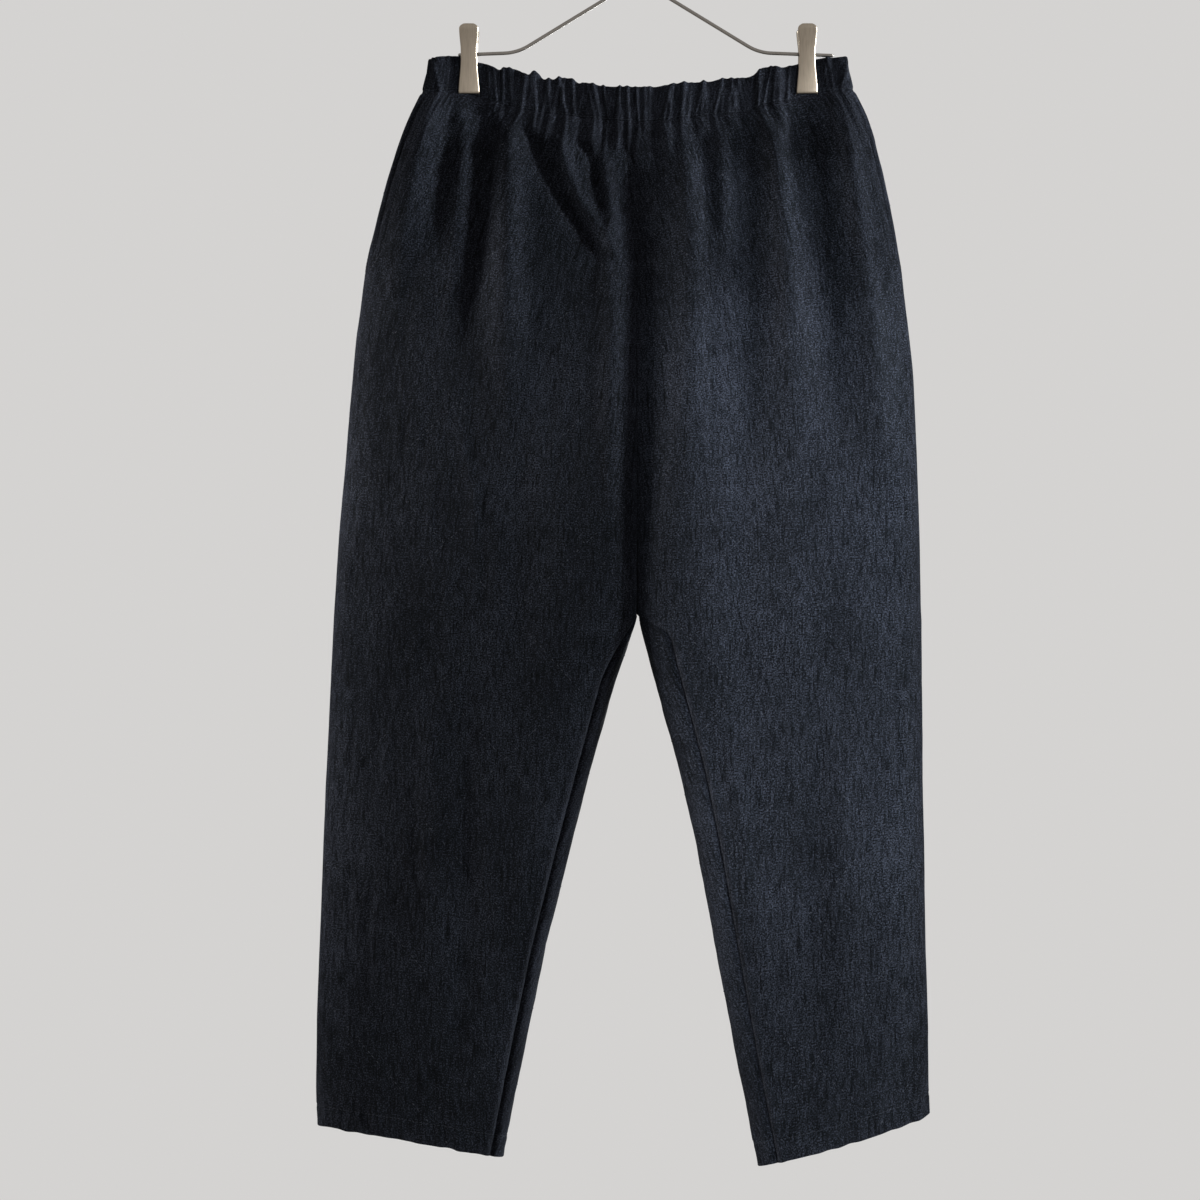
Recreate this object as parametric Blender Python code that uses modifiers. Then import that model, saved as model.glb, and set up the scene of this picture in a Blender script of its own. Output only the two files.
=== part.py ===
"""Sashiko trousers that hang by the waist from a two-clip wire hanger.

Metres, +Z up. The origin is the underside of the hook's crown, where a rod carries the hanger.
The front faces -Y and the wearer's left is +X. Tables are in millimetres.
"""

import math

import bmesh
import bpy
import numpy as np

MM = 0.001

# Cloth
GAP = 0.0003
PANEL_WALL = 0.0016
HEM_WALL = 0.0026
BAND_WALL = 0.0032
BAG_WALL = 0.0010

# Heights: drops are measured down from the waist's side corners
WAIST_Z = -0.148
BAND_DEPTH = 0.029
BAND_SEAM = 0.0005
CROTCH_DROP = 0.462
SAG_END_DROP = 0.330
SAG_SOFTNESS = 0.006
HEM_TURNING = 0.017
HEM_DROP = {1: 0.878, -1: 0.885}
HEM_SLOPE = {1: 0.041, -1: 0.028}

# Gathers
BAND_WAVES = 45
BAND_STEPS = 3
BAND_WAVE_HEIGHT = 0.0011
GATHER_HEIGHT = 0.0009
GATHER_END_DROP = 0.075

# Pinch under the clips
CLIP_X = 0.140
PINCH_CORE = 0.011
PINCH_REACH = 0.027
BAND_HALF_DEPTH = 0.0072
PINCHED_DEPTH = 0.0042
PINCH_END_DROP = 0.095

# Pockets in the side seams
POCKET_TOP = 0.031
POCKET_END = 0.180
STRIP_WIDTH = 0.0065
POCKET_GAPE = 0.0088
POCKET_GAPE_REACH = 0.030
STRIP_PRESS = 0.0036
BAG_CLEARANCE = 0.0016
BAG_CAVITY = 0.0092
BAG_REACH = 0.064
BAG_COLUMNS = 7
BAG_DROPS = (52, 60, 80, 105, 135, 165, 180, 205, 232)
BAG_MOUTH = (0.060, 0.165)

# Inseam, which the back panel carries round onto the front
INSEAM_WIDTH = 0.018
INSEAM_RUN = 0.050

# Centre-front valley
VALLEY_DEPTH = 0.0055
VALLEY_REACH = {1: 0.014, -1: 0.009}

# Panel columns: the first rows have twice as many
FRONT_COLUMNS = 16
BACK_COLUMNS = 19
STRIP_COLUMNS = 2
WRAP_COLUMNS = 2
PROFILE_STEPS = 241
CROTCH_END = 0.0016

# Panel rows, as drops down to the crotch and shares of the leg below it
GATHERED_DROPS = (29.25, 37, 47, 60)
TRUNK_DROPS = (80, 105, 135, 165, 180, 205, 245, 290, 340, 390, 425, 448, 462)
LEG_SHARES = (0.010, 0.035, 0.075, 0.14, 0.25, 0.38, 0.52, 0.66, 0.80, 0.90)

# Hanger
WIRE_RADIUS = 0.0015
WIRE_CLEARANCE = 0.0005
BAR_Z = -0.1447
APEX_Z = -0.086
BAR_BEND_X = 0.100
BAR_END = {1: 0.161, -1: -0.1505}
HOOK_RADIUS = 0.0196
HOOK_WIRE = 0.0016
HOOK_JOIN = 0.056
FERRULE_TOP = -0.064
FERRULE_BOTTOM = -0.0925
FERRULE_RADIUS = 0.0052
SHANK_END = -0.0795
SLEEVE_RADIUS = 0.0042
SLEEVE_HALF_LENGTH = 0.0055
JAW_PLATE = 0.0018

OUTLINE = {
    "columns": ("drop", "right", "left"),
    "rows": (
        (0, 172, 172), (29, 180, 177), (60, 193, 191.5), (97, 206, 201), (139, 216.5, 209),
        (180, 225, 217), (201, 227.5, 218), (242, 233, 224), (325, 240, 229), (408, 247, 231.5),
        (491, 252, 233), (616, 257, 234.5), (741, 263.5, 237), (856, 267, 240), (885, 264.5, 242.5),
    ),
}

INNER_EDGE = {
    "columns": ("drop", "right", "left"),
    "rows": (
        (462, 0.15, 0.15), (468, 1.0, 0.5), (518, 19, 14), (587, 38, 33.5), (657, 56.5, 49),
        (740, 77, 64.5), (832, 96, 82), (919, 113.5, 100),
    ),
}

CENTRE_SEAM = {
    "columns": ("drop", "x"),
    "rows": ((0, -12), (50, -11), (110, -7.5), (130, -4), (160, -2), (460, -1)),
}

WAIST_SAG = {
    "columns": ("x", "sag"),
    "rows": (
        (-175, 3), (-158, 0), (-140, 4), (-120, 10), (-85, 16.5), (-45, 22), (0, 26), (50, 20.5),
        (92, 16), (103, 10), (125, 8), (140, 5), (158, 0), (175, 3),
    ),
}

# Half-depths at the front and back, how far each fold's rounding runs in, and the centre's share
SECTIONS = {
    "columns": ("drop", "front", "back", "outer_run", "inner_run", "centre"),
    "rows": (
        (29, 8.0, 8.0, 9, 90, 1000), (60, 12.0, 13.0, 22, 90, 1000), (105, 16.0, 18.0, 42, 90, 980),
        (180, 21.0, 24.0, 66, 95, 920), (260, 24.0, 28.0, 80, 100, 830), (325, 25.5, 30.0, 90, 104, 710),
        (390, 26.0, 31.0, 96, 106, 520), (430, 26.0, 31.0, 100, 106, 330), (450, 26.0, 31.0, 100, 106, 180),
        (461.5, 26.0, 31.0, 100, 106, 75), (463, 26.0, 31.0, 100, 106, 0), (560, 25.0, 29.0, 92, 92, 0),
        (700, 22.0, 25.0, 80, 80, 0), (800, 19.0, 21.5, 74, 74, 0), (885, 16.0, 18.0, 68, 68, 0),
    ),
}

FOLD_COLUMNS = ("name", "x_top", "drop_top", "x_end", "drop_end", "bow", "spread", "height")

FRONT_FOLDS = (
    ("pocket_ridge_right", -166, 42, -206, 230, -4, 9, 2.6),
    ("side_trough_right", -151, 44, -170, 165, 2, 7, -2.4),
    ("clip_ridge_right", -133, 32, -162, 240, 3, 9, 3.6),
    ("clip_trough_right", -121, 32, -140, 245, 3, 10, -5.0),
    ("broad_ridge_right", -95, 40, -100, 300, 0, 14, 4.8),
    ("slanting_trough", -86, 42, -8, 205, -9, 7, -5.0),
    ("slanting_ridge", -62, 46, -22, 160, -6, 7, 3.0),
    ("short_trough", -47, 46, -18, 155, -5, 6, -3.6),
    ("seam_ridge_right", -25, 56, -22, 450, 8, 9, 3.2),
    ("seam_ridge_left", 36, 44, 24, 440, 9, 12, 3.4),
    ("little_trough_left", 52, 46, 60, 150, 0, 6, -2.4),
    ("middle_ridge_left", 76, 40, 78, 190, 2, 8, 3.0),
    ("middle_trough_left", 99, 44, 102, 215, 3, 9, -4.2),
    ("clip_ridge_left", 117, 32, 160, 250, 7, 12, 5.4),
    ("clip_trough_left", 142, 40, 190, 245, 6, 13, -4.4),
    ("pocket_ridge_left", 200, 215, 209, 320, 0, 8, 2.2),
)

BACK_FOLDS = (
    ("side_ridge_right", -162, 38, -196, 240, 0, 11, 3.2),
    ("clip_trough_right", -127, 32, -140, 210, 2, 9, -4.4),
    ("broad_ridge_right", -102, 40, -110, 300, 3, 14, 4.6),
    ("slanting_trough_right", -76, 42, -36, 220, -6, 8, -3.8),
    ("seat_ridge_right", -42, 48, -28, 330, 4, 12, 3.6),
    ("seat_trough", -13, 56, -6, 260, 0, 9, -2.6),
    ("seat_ridge_left", 26, 46, 34, 340, 3, 12, 3.6),
    ("slanting_trough_left", 64, 42, 48, 200, 5, 8, -3.8),
    ("broad_ridge_left", 90, 38, 100, 290, -3, 13, 4.6),
    ("clip_trough_left", 122, 32, 136, 220, 2, 9, -4.4),
    ("side_ridge_left", 158, 38, 188, 250, 3, 12, 3.6),
)

# Clip jaw: height along it from the bottom, half-width, and stand-off of its inner face
JAW_PROFILE = {
    "columns": ("height", "half_width", "stand_off"),
    "rows": (
        (0, 8.7, 4.6), (2, 8.75, 4.6), (10, 8.2, 4.9), (20, 7.2, 5.0), (30, 6.7, 5.1), (38, 6.7, 5.3),
        (46, 7.6, 7.6), (52, 8.0, 9.6), (55.5, 7.4, 10.8), (57, 5.6, 11.3),
    ),
}
JAW_BOTTOM_Z = WAIST_Z - 0.0295

COLOURS = {
    "cloth": ((0.016, 0.018, 0.026), 0.92, 0.0),
    "lining": ((0.030, 0.032, 0.040), 0.90, 0.0),
    "steel": ((0.50, 0.48, 0.45), 0.38, 1.0),
    "wire": ((0.62, 0.61, 0.59), 0.30, 1.0),
}


def new_collection(name):
    collection = bpy.data.collections.new(name)
    bpy.context.scene.collection.children.link(collection)
    return collection


def dress(thing, finish, collection):
    """Give an object its own material and put it in its collection."""
    colour, roughness, metallic = COLOURS[finish]
    material = bpy.data.materials.new(thing.name + "_" + finish)
    material.use_nodes = True
    shader = material.node_tree.nodes["Principled BSDF"]
    shader.inputs["Base Color"].default_value = (*colour, 1.0)
    shader.inputs["Roughness"].default_value = roughness
    shader.inputs["Metallic"].default_value = metallic
    thing.data.materials.append(material)
    collection.objects.link(thing)
    return thing


def reading(table, name, where, unit=MM):
    """A named column of a table, read between its rows at a distance in metres."""
    spot = table["columns"].index(name)
    keys = np.array([row[0] for row in table["rows"]]) * MM
    values = np.array([row[spot] for row in table["rows"]]) * unit
    return np.interp(where, keys, values)


def ease(share):
    share = np.clip(share, 0.0, 1.0)
    return share * share * (3 - 2 * share)


def side_name(side):
    return "left" if side > 0 else "right"


def waist_sag(x):
    """How far the waist hangs below its side corners, smoothed so that edges meet evenly."""
    offsets = np.linspace(-2, 2, 9)
    weights = np.exp(-0.5 * offsets ** 2)
    sags = [weight * reading(WAIST_SAG, "sag", x + offset * SAG_SOFTNESS)
            for offset, weight in zip(offsets, weights)]
    return sum(sags) / weights.sum()


def pinch(x):
    """1 under a clip, falling to 0 clear of it."""
    return 1 - ease((abs(abs(x) - CLIP_X) - PINCH_CORE) / (PINCH_REACH - PINCH_CORE))


def height_of(x, drop, across_share, side):
    """Height of a panel's point: its row's drop, the waist's sag and the hem's slope."""
    sag = waist_sag(x) * (1 - ease((drop - BAND_DEPTH) / (SAG_END_DROP - BAND_DEPTH)))
    slope = HEM_SLOPE[side] * across_share ** 1.15 * leg_share(drop, side)
    return WAIST_Z - drop - sag - slope


def leg_share(drop, side):
    """0 down to the crotch, 1 at the hem."""
    return np.clip((drop - CROTCH_DROP) / (HEM_DROP[side] - CROTCH_DROP), 0, 1)


def fold_height(x, drop, folds):
    """Sum of the folds at a point: each a smooth ridge along its own path, faded at its ends."""
    total = np.zeros_like(np.asarray(x, dtype=float))
    for row in folds:
        fold = dict(zip(FOLD_COLUMNS, row))
        share = (drop / MM - fold["drop_top"]) / (fold["drop_end"] - fold["drop_top"])
        if 0 < share < 1:
            middle = fold["x_top"] + (fold["x_end"] - fold["x_top"]) * share
            middle += fold["bow"] * math.sin(math.pi * share)
            fade = ease(share / 0.10) * (1 - ease((share - 0.5) / 0.5))
            spread = fold["spread"] * (0.75 + 0.5 * share)
            total += fold["height"] * MM * fade * np.exp(-((x / MM - middle) / spread) ** 2)
    return total


def valley_height(x, drop):
    """The hollow along the centre-front seam."""
    from_seam = x - reading(CENTRE_SEAM, "x", drop)
    reach = np.where(from_seam > 0, VALLEY_REACH[1], VALLEY_REACH[-1])
    strength = ease((drop - 0.030) / 0.07) * (1 - ease((drop - 0.36) / 0.09))
    return -VALLEY_DEPTH * strength * np.exp(-(from_seam / reach) ** 2)


def pocket_bell(drop):
    """0 at both ends of the pocket mouth, 1 in its middle."""
    share = np.clip((drop - POCKET_TOP) / (POCKET_END - POCKET_TOP), 0, 1)
    return np.sin(np.pi * share) ** 0.6


def strip_width(drop):
    """How far in from the side fold the front's pocket edge lies."""
    return STRIP_WIDTH * (1 - ease((drop - 0.158) / (POCKET_END - 0.158)))


def inseam_width(drop):
    """How far in from the inner fold the inseam lies on the front."""
    return INSEAM_WIDTH * ease((drop - CROTCH_DROP) / INSEAM_RUN) + 0.35 * max(0, min(0.004, drop - CROTCH_DROP))


class Section:
    """One side's half of the garment at a drop: its outline points, front and back."""

    def __init__(self, side, drop):
        self.side = side
        self.drop = drop
        name = side_name(side)
        self.in_leg = drop > CROTCH_DROP + 1e-6
        if self.in_leg:
            inner_drop = drop + HEM_SLOPE[side] * leg_share(drop, side)
            inner = reading(INNER_EDGE, name, inner_drop)
        else:
            centre_sag = waist_sag(0.0) * (1 - ease((drop - BAND_DEPTH) / (SAG_END_DROP - BAND_DEPTH)))
            inner = side * reading(CENTRE_SEAM, "x", drop + centre_sag) + GAP / 2
        self.outer = reading(OUTLINE, name, drop)
        self.width = self.outer - inner
        turn = np.linspace(0, np.pi, PROFILE_STEPS)
        self.across = self.width * (1 - np.cos(turn)) / 2
        self.x = side * (self.outer - self.across)
        runs = {name: reading(SECTIONS, name, drop) for name in ("outer_run", "inner_run")}
        centre = reading(SECTIONS, "centre", drop, 0.001)
        outer_round = np.sqrt(1 - (1 - np.minimum(1, self.across / runs["outer_run"])) ** 2)
        from_inner = np.minimum(1, (self.width - self.across) / runs["inner_run"])
        inner_round = np.sqrt(centre ** 2 + (1 - centre ** 2) * (1 - (1 - from_inner) ** 2))
        near_clip = pinch(self.x) * (1 - ease((drop - BAND_DEPTH) / (PINCH_END_DROP - BAND_DEPTH)))
        self.depths = {}
        self.lengths = {}
        for face in ("front", "back"):
            depth = reading(SECTIONS, face, drop)
            depth = depth - (depth - PINCHED_DEPTH - 0.0004) * near_clip
            self.depths[face] = depth * outer_round * inner_round
            steps = np.hypot(np.diff(self.x), np.diff(self.depths[face]))
            self.lengths[face] = np.concatenate(([0.0], np.cumsum(steps)))

    def reach(self, face, across):
        """Length along a face from the outer fold to a distance across."""
        return np.interp(across, self.across, self.lengths[face])

    def line(self):
        """Points all round: back from the outer fold, with the front's ends joined on to it."""
        front = np.column_stack((self.x, -self.depths["front"]))
        back = np.column_stack((self.x, self.depths["back"]))
        places = np.concatenate((-self.lengths["front"][:0:-1], self.lengths["back"]))
        points = np.concatenate((front[:0:-1], back))
        if self.in_leg:
            onward = self.lengths["back"][-1] + self.lengths["front"][-1] - self.lengths["front"][-2::-1]
            places = np.concatenate((places, onward))
            points = np.concatenate((points, front[-2::-1]))
        return places, points

    def sample(self, wanted):
        """Points and outward normals at lengths round the section, positive along the back."""
        places, points = self.line()
        tangents = np.gradient(points, places, axis=0)
        outward = np.column_stack((tangents[:, 1], -tangents[:, 0])) * self.side
        x, y, nx, ny = (np.interp(wanted, places, values)
                        for values in (points[:, 0], points[:, 1], outward[:, 0], outward[:, 1]))
        size = np.hypot(nx, ny)
        return x, y, nx / size, ny / size

    def moved(self, x, y, edge):
        """How far the folds move each point out along Y, nothing at the side and inner folds."""
        from_outer = self.outer - self.side * x
        calm = ease(from_outer / 0.030)
        if self.in_leg:
            calm = calm * ease((self.width - from_outer) / 0.028)
        if edge == "back":
            heights = np.where(y > 0, fold_height(x, self.drop, BACK_FOLDS), 0) * calm
            press = STRIP_PRESS * pocket_bell(self.drop) * ease(from_outer / STRIP_WIDTH)
            return heights - np.where((y < 0) & (from_outer < 0.02), press, 0)
        heights = (fold_height(x, self.drop, FRONT_FOLDS) + valley_height(x, self.drop)) * calm
        from_edge = from_outer - strip_width(self.drop)
        gape = POCKET_GAPE * pocket_bell(self.drop) * np.exp(-(from_edge / POCKET_GAPE_REACH) ** 2)
        return heights + gape

    def room(self, x, face):
        """Depth of a panel's outer side at x, the least that its coarse columns can leave."""
        depth = np.interp(self.outer - self.side * x, self.across, self.depths[face])
        facing = -1 if face == "front" else 1
        nearby = [self.moved(x + step, facing * depth, face) for step in (-0.006, 0.0, 0.006)]
        return depth + np.minimum.reduce(nearby)


def graded(start, end, count, strength):
    """Places from start to end, closer together near both ends as strength rises to 1."""
    even = np.linspace(0, 1, count + 1)
    return start + (end - start) * (even + strength * ((1 - np.cos(np.pi * even)) / 2 - even))


def front_places(section, count, strength):
    strip = strip_width(section.drop)
    start = section.reach("front", strip) + GAP / 2
    end = section.lengths["front"][-1]
    if section.in_leg:
        seam = section.width - inseam_width(section.drop)
        end = section.reach("front", seam) - GAP / 2
    return -graded(start, end, count, strength)


def back_places(section, count, strength):
    """Round the outer fold, over the back, and on round the inner fold of a leg."""
    double = count // BACK_COLUMNS
    strip = section.reach("front", strip_width(section.drop))
    length = section.lengths["back"][-1]
    start = GAP / 2 - strip
    first_mark = 0.008 * ease((section.drop - 0.150) / 0.06)
    last_share = 1 - WRAP_COLUMNS / BACK_COLUMNS
    if section.in_leg:
        seam = section.reach("front", section.width - inseam_width(section.drop))
        last_mark = length
        end = length + section.lengths["front"][-1] - seam - GAP / 2
    else:
        closing = ease((section.drop - 0.34) / (CROTCH_DROP - 0.34))
        last_mark = length * last_share * (1 - closing) + (length - CROTCH_END) * closing
        end = length
    middle = count - (STRIP_COLUMNS + WRAP_COLUMNS) * double
    return np.concatenate((
        np.linspace(start, first_mark, STRIP_COLUMNS * double + 1)[:-1],
        graded(first_mark, last_mark, middle, strength),
        np.linspace(last_mark, end, WRAP_COLUMNS * double + 1)[1:],
    ))


def panel_rows(side, face):
    """Outer and inner rows of a leg panel, from the waistband to the hem."""
    places_of = front_places if face == "front" else back_places
    columns = FRONT_COLUMNS if face == "front" else BACK_COLUMNS
    leg = HEM_DROP[side] - CROTCH_DROP
    hem_drops = [HEM_DROP[side] - HEM_TURNING - 0.001, HEM_DROP[side] - HEM_TURNING, HEM_DROP[side]]
    drops = [drop * MM for drop in GATHERED_DROPS + TRUNK_DROPS]
    drops += [CROTCH_DROP + share * leg for share in LEG_SHARES] + hem_drops
    outer_rows = []
    inner_rows = []
    for drop in drops:
        section = Section(side, drop)
        gathered = drop <= GATHERED_DROPS[-1] * MM
        count = columns * 2 if gathered else columns
        strength = 0.75 * ease((drop - 0.05) / 0.10)
        x, y, nx, ny = section.sample(places_of(section, count, strength))
        share = (section.outer - side * x) / section.width
        z = height_of(x, drop, share, side)
        wall = HEM_WALL if drop >= hem_drops[1] - 1e-9 else PANEL_WALL
        facing = np.sign(y)
        y = y + facing * section.moved(x, y, face)
        ripple = np.zeros_like(x)
        if gathered:
            swing = np.cos(np.pi * np.arange(count + 1)) * (0.65 + 0.35 * np.sin(2.4 * np.arange(count + 1)))
            calm = ease((section.outer - side * x - 0.010) / 0.012)
            ripple = GATHER_HEIGHT * swing * calm * (1 - ease((drop - 0.03) / (GATHER_END_DROP - 0.03)))
        outer_rows.append(np.column_stack((x, y + facing * ripple, z)))
        inner_rows.append(np.column_stack((x - nx * wall, y - ny * wall, z)))
    return outer_rows, inner_rows


def band_rows(face):
    """Outer and inner rows of the waistband's front or back, with its gathers."""
    count = BAND_WAVES * BAND_STEPS
    facing = -1 if face == "front" else 1
    outer_rows = []
    inner_rows = []
    for share in (0.0, 0.5, 1.0):
        level = BAND_DEPTH * share
        left = reading(OUTLINE, "left", level)
        right = reading(OUTLINE, "right", level)
        end = BAND_HALF_DEPTH
        dense = np.concatenate((
            -right + end * (1 - np.cos(np.linspace(0, np.pi / 2, 60))),
            np.linspace(-right + end, left - end, 500)[1:-1],
            left - end + end * np.sin(np.linspace(0, np.pi / 2, 60)),
        ))
        from_end = np.clip(np.minimum(left - dense, dense + right), 0, end)
        round_off = np.sqrt(end ** 2 - (end - from_end) ** 2) / end
        depth = (end - (end - PINCHED_DEPTH) * pinch(dense)) * round_off
        points = np.column_stack((dense, facing * depth))
        lengths = np.concatenate(([0.0], np.cumsum(np.hypot(*np.diff(points, axis=0).T))))
        tangents = np.gradient(points, lengths, axis=0)
        outward = np.column_stack((-tangents[:, 1], tangents[:, 0])) * facing
        wanted = np.linspace(GAP / 2, lengths[-1] - GAP / 2, count + 1)
        x, y, nx, ny = (np.interp(wanted, lengths, values)
                        for values in (points[:, 0], points[:, 1], outward[:, 0], outward[:, 1]))
        phase = 2 * np.pi * np.arange(count + 1) / BAND_STEPS
        size = 0.7 + 0.3 * np.sin(0.7 * phase + 1.1 * (face == "back"))
        calm = (1 - pinch(x)) * ease((wanted - 0.008) / 0.008) * ease((lengths[-1] - 0.008 - wanted) / 0.008)
        ripple = BAND_WAVE_HEIGHT * size * calm * np.cos(phase)
        z = WAIST_Z - waist_sag(x) - level + (BAND_SEAM if share == 1.0 else 0.0)
        outer_rows.append(np.column_stack((x, y + facing * ripple, z)))
        inner_rows.append(np.column_stack((x - nx * BAND_WALL, y - ny * BAND_WALL, z)))
    return outer_rows, inner_rows


def stitched(upper, lower):
    """Faces between two rows of vertex numbers, where the upper row may have twice the columns."""
    if len(upper) == len(lower):
        return [(upper[i], upper[i + 1], lower[i + 1], lower[i]) for i in range(len(upper) - 1)]
    faces = []
    for i in range(len(lower) - 1):
        faces.append((upper[2 * i], upper[2 * i + 1], lower[i]))
        faces.append((upper[2 * i + 1], lower[i + 1], lower[i]))
        faces.append((upper[2 * i + 1], upper[2 * i + 2], lower[i + 1]))
    return faces


def closed_wall(name, outer_rows, inner_rows, finish, collection):
    """A cloth wall: two skins of rows joined along their four edges."""
    points = []
    numbers = {"outer": [], "inner": []}
    for skin, rows in (("outer", outer_rows), ("inner", inner_rows)):
        for row in rows:
            numbers[skin].append(list(range(len(points), len(points) + len(row))))
            points.extend(tuple(point) for point in row)
    outer, inner = numbers["outer"], numbers["inner"]
    faces = []
    for skin in (outer, inner):
        for upper, lower in zip(skin, skin[1:]):
            faces += stitched(upper, lower)
    for row in (0, -1):
        faces += stitched(outer[row], inner[row])
    for column in (0, -1):
        faces += stitched([row[column] for row in outer], [row[column] for row in inner])
    return solid(name, points, faces, finish, collection)


def solid(name, points, faces, finish, collection, smooth_angle=50):
    mesh = bpy.data.meshes.new(name)
    mesh.from_pydata(points, [], faces)
    work = bmesh.new()
    work.from_mesh(mesh)
    bmesh.ops.recalc_face_normals(work, faces=work.faces)
    work.to_mesh(mesh)
    work.free()
    mesh.shade_smooth()
    mesh.set_sharp_from_angle(angle=math.radians(smooth_angle))
    thing = bpy.data.objects.new(name, mesh)
    return dress(thing, finish, collection)


def loft(name, rings, finish, collection):
    """A closed body through rings with the same number of points, capped at both ends."""
    count = len(rings[0])
    points = [tuple(point) for ring in rings for point in ring]
    faces = []
    for level in range(len(rings) - 1):
        base = level * count
        for i in range(count):
            following = (i + 1) % count
            faces.append((base + i, base + following, base + count + following, base + count + i))
    faces.append(tuple(range(count)))
    faces.append(tuple(range(len(points) - 1, len(points) - count - 1, -1)))
    return solid(name, points, faces, finish, collection)


def make_panels(collection):
    for face in ("front", "back"):
        for side in (-1, 1):
            outer_rows, inner_rows = panel_rows(side, face)
            closed_wall(face + "_" + side_name(side), outer_rows, inner_rows, "cloth", collection)


def make_waistband(collection):
    for face in ("front", "back"):
        outer_rows, inner_rows = band_rows(face)
        closed_wall("waistband_" + face, outer_rows, inner_rows, "cloth", collection)


def bag_ring(side, drop, inset):
    """One level of a pocket bag, or of its cavity when inset by the bag's wall."""
    section = Section(side, drop)
    in_mouth = BAG_MOUTH[0] <= drop <= BAG_MOUTH[1]
    mouth = section.outer - strip_width(drop) - PANEL_WALL - GAP
    below = section.outer - 0.0095
    outer = mouth + (below - mouth) * ease((drop - BAG_MOUTH[1]) / 0.012)
    foot = ease((drop - 0.205) / 0.027)
    shoulder = 1 - ease((drop - BAG_DROPS[0] * MM) / 0.070)
    outer_end = outer - 0.014 * foot
    inner_end = outer - BAG_REACH * (1 - 0.66 * shoulder) + 0.012 * foot + inset
    outer_end += 0.009 if inset and in_mouth else -inset
    far = np.linspace(outer_end, inner_end, BAG_COLUMNS)
    x = side * far
    inside_x = side * np.minimum(far, outer)
    front_room = section.room(inside_x, "front")
    back_room = section.room(inside_x, "back")
    y_front = -front_room + PANEL_WALL + BAG_CLEARANCE
    taper = np.sqrt(np.clip((far - inner_end + 0.002) / 0.012, 0, 1)) * (1 - 0.35 * foot)
    y_back = y_front + 2 * BAG_WALL + BAG_CAVITY * taper
    y_back = np.minimum(y_back, back_room - PANEL_WALL - BAG_CLEARANCE)
    z = height_of(inside_x, drop, (section.outer - np.minimum(far, outer)) / section.width, side)
    front = np.column_stack((x, y_front + inset, z))
    back = np.column_stack((x, y_back - inset, z))
    return np.concatenate((front, back[::-1]))


def make_pocket_bags(collection, cutters):
    """Each bag is a pouch cut hollow by a cavity that runs out through its mouth."""
    drops = [drop * MM for drop in BAG_DROPS]
    hollow_drops = [drops[0] + BAG_WALL] + drops[1:-1] + [drops[-1] - BAG_WALL]
    for side in (-1, 1):
        name = side_name(side)
        rings = [bag_ring(side, drop, 0.0) for drop in drops]
        hollow_rings = [bag_ring(side, drop, BAG_WALL) for drop in hollow_drops]
        bag = loft("pocket_bag_" + name, rings, "lining", collection)
        cut(bag, loft("bag_cavity_" + name, hollow_rings, "lining", cutters))


def cut(thing, cutter):
    cutter.hide_render = True
    cutter.display_type = "WIRE"
    step = thing.modifiers.new("cut", "BOOLEAN")
    step.operation = "DIFFERENCE"
    step.object = cutter


def wire(name, points, radius, finish, collection):
    curve = bpy.data.curves.new(name, "CURVE")
    curve.dimensions = "3D"
    curve.bevel_depth = radius
    curve.bevel_resolution = 2
    curve.use_fill_caps = True
    spline = curve.splines.new("POLY")
    spline.points.add(len(points) - 1)
    for spot, point in zip(spline.points, points):
        spot.co = (*point, 1.0)
    return dress(bpy.data.objects.new(name, curve), finish, collection)


def as_mesh(thing, collection):
    """The welded mesh of a curve object, which takes its place."""
    bpy.context.view_layer.update()
    evaluated = thing.evaluated_get(bpy.context.evaluated_depsgraph_get())
    mesh = bpy.data.meshes.new_from_object(evaluated)
    work = bmesh.new()
    work.from_mesh(mesh)
    bmesh.ops.remove_doubles(work, verts=work.verts, dist=0.00001)
    bmesh.ops.recalc_face_normals(work, faces=work.faces)
    work.to_mesh(mesh)
    work.free()
    name = thing.name
    bpy.data.objects.remove(thing)
    solid_thing = bpy.data.objects.new(name, mesh)
    collection.objects.link(solid_thing)
    return solid_thing


def rounded_path(corners, radius, steps):
    """A path through corners in the XZ plane, each bend rounded by an even curve."""
    path = [corners[0]]
    for before, corner, after in zip(corners, corners[1:], corners[2:]):
        start = corner + (before - corner) / np.linalg.norm(before - corner) * radius
        end = corner + (after - corner) / np.linalg.norm(after - corner) * radius
        for share in np.linspace(0, 1, steps):
            path.append((1 - share) ** 2 * start + 2 * share * (1 - share) * corner + share ** 2 * end)
    path.append(corners[-1])
    return [tuple(point) for point in path]


def frame_path():
    corners = [
        np.array((BAR_END[-1], 0.0, BAR_Z)), np.array((-BAR_BEND_X, 0.0, BAR_Z)),
        np.array((0.0, 0.0, APEX_Z + 0.002)), np.array((BAR_BEND_X, 0.0, BAR_Z)),
        np.array((BAR_END[1], 0.0, BAR_Z)),
    ]
    return rounded_path(corners, 0.008, 6)


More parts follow.
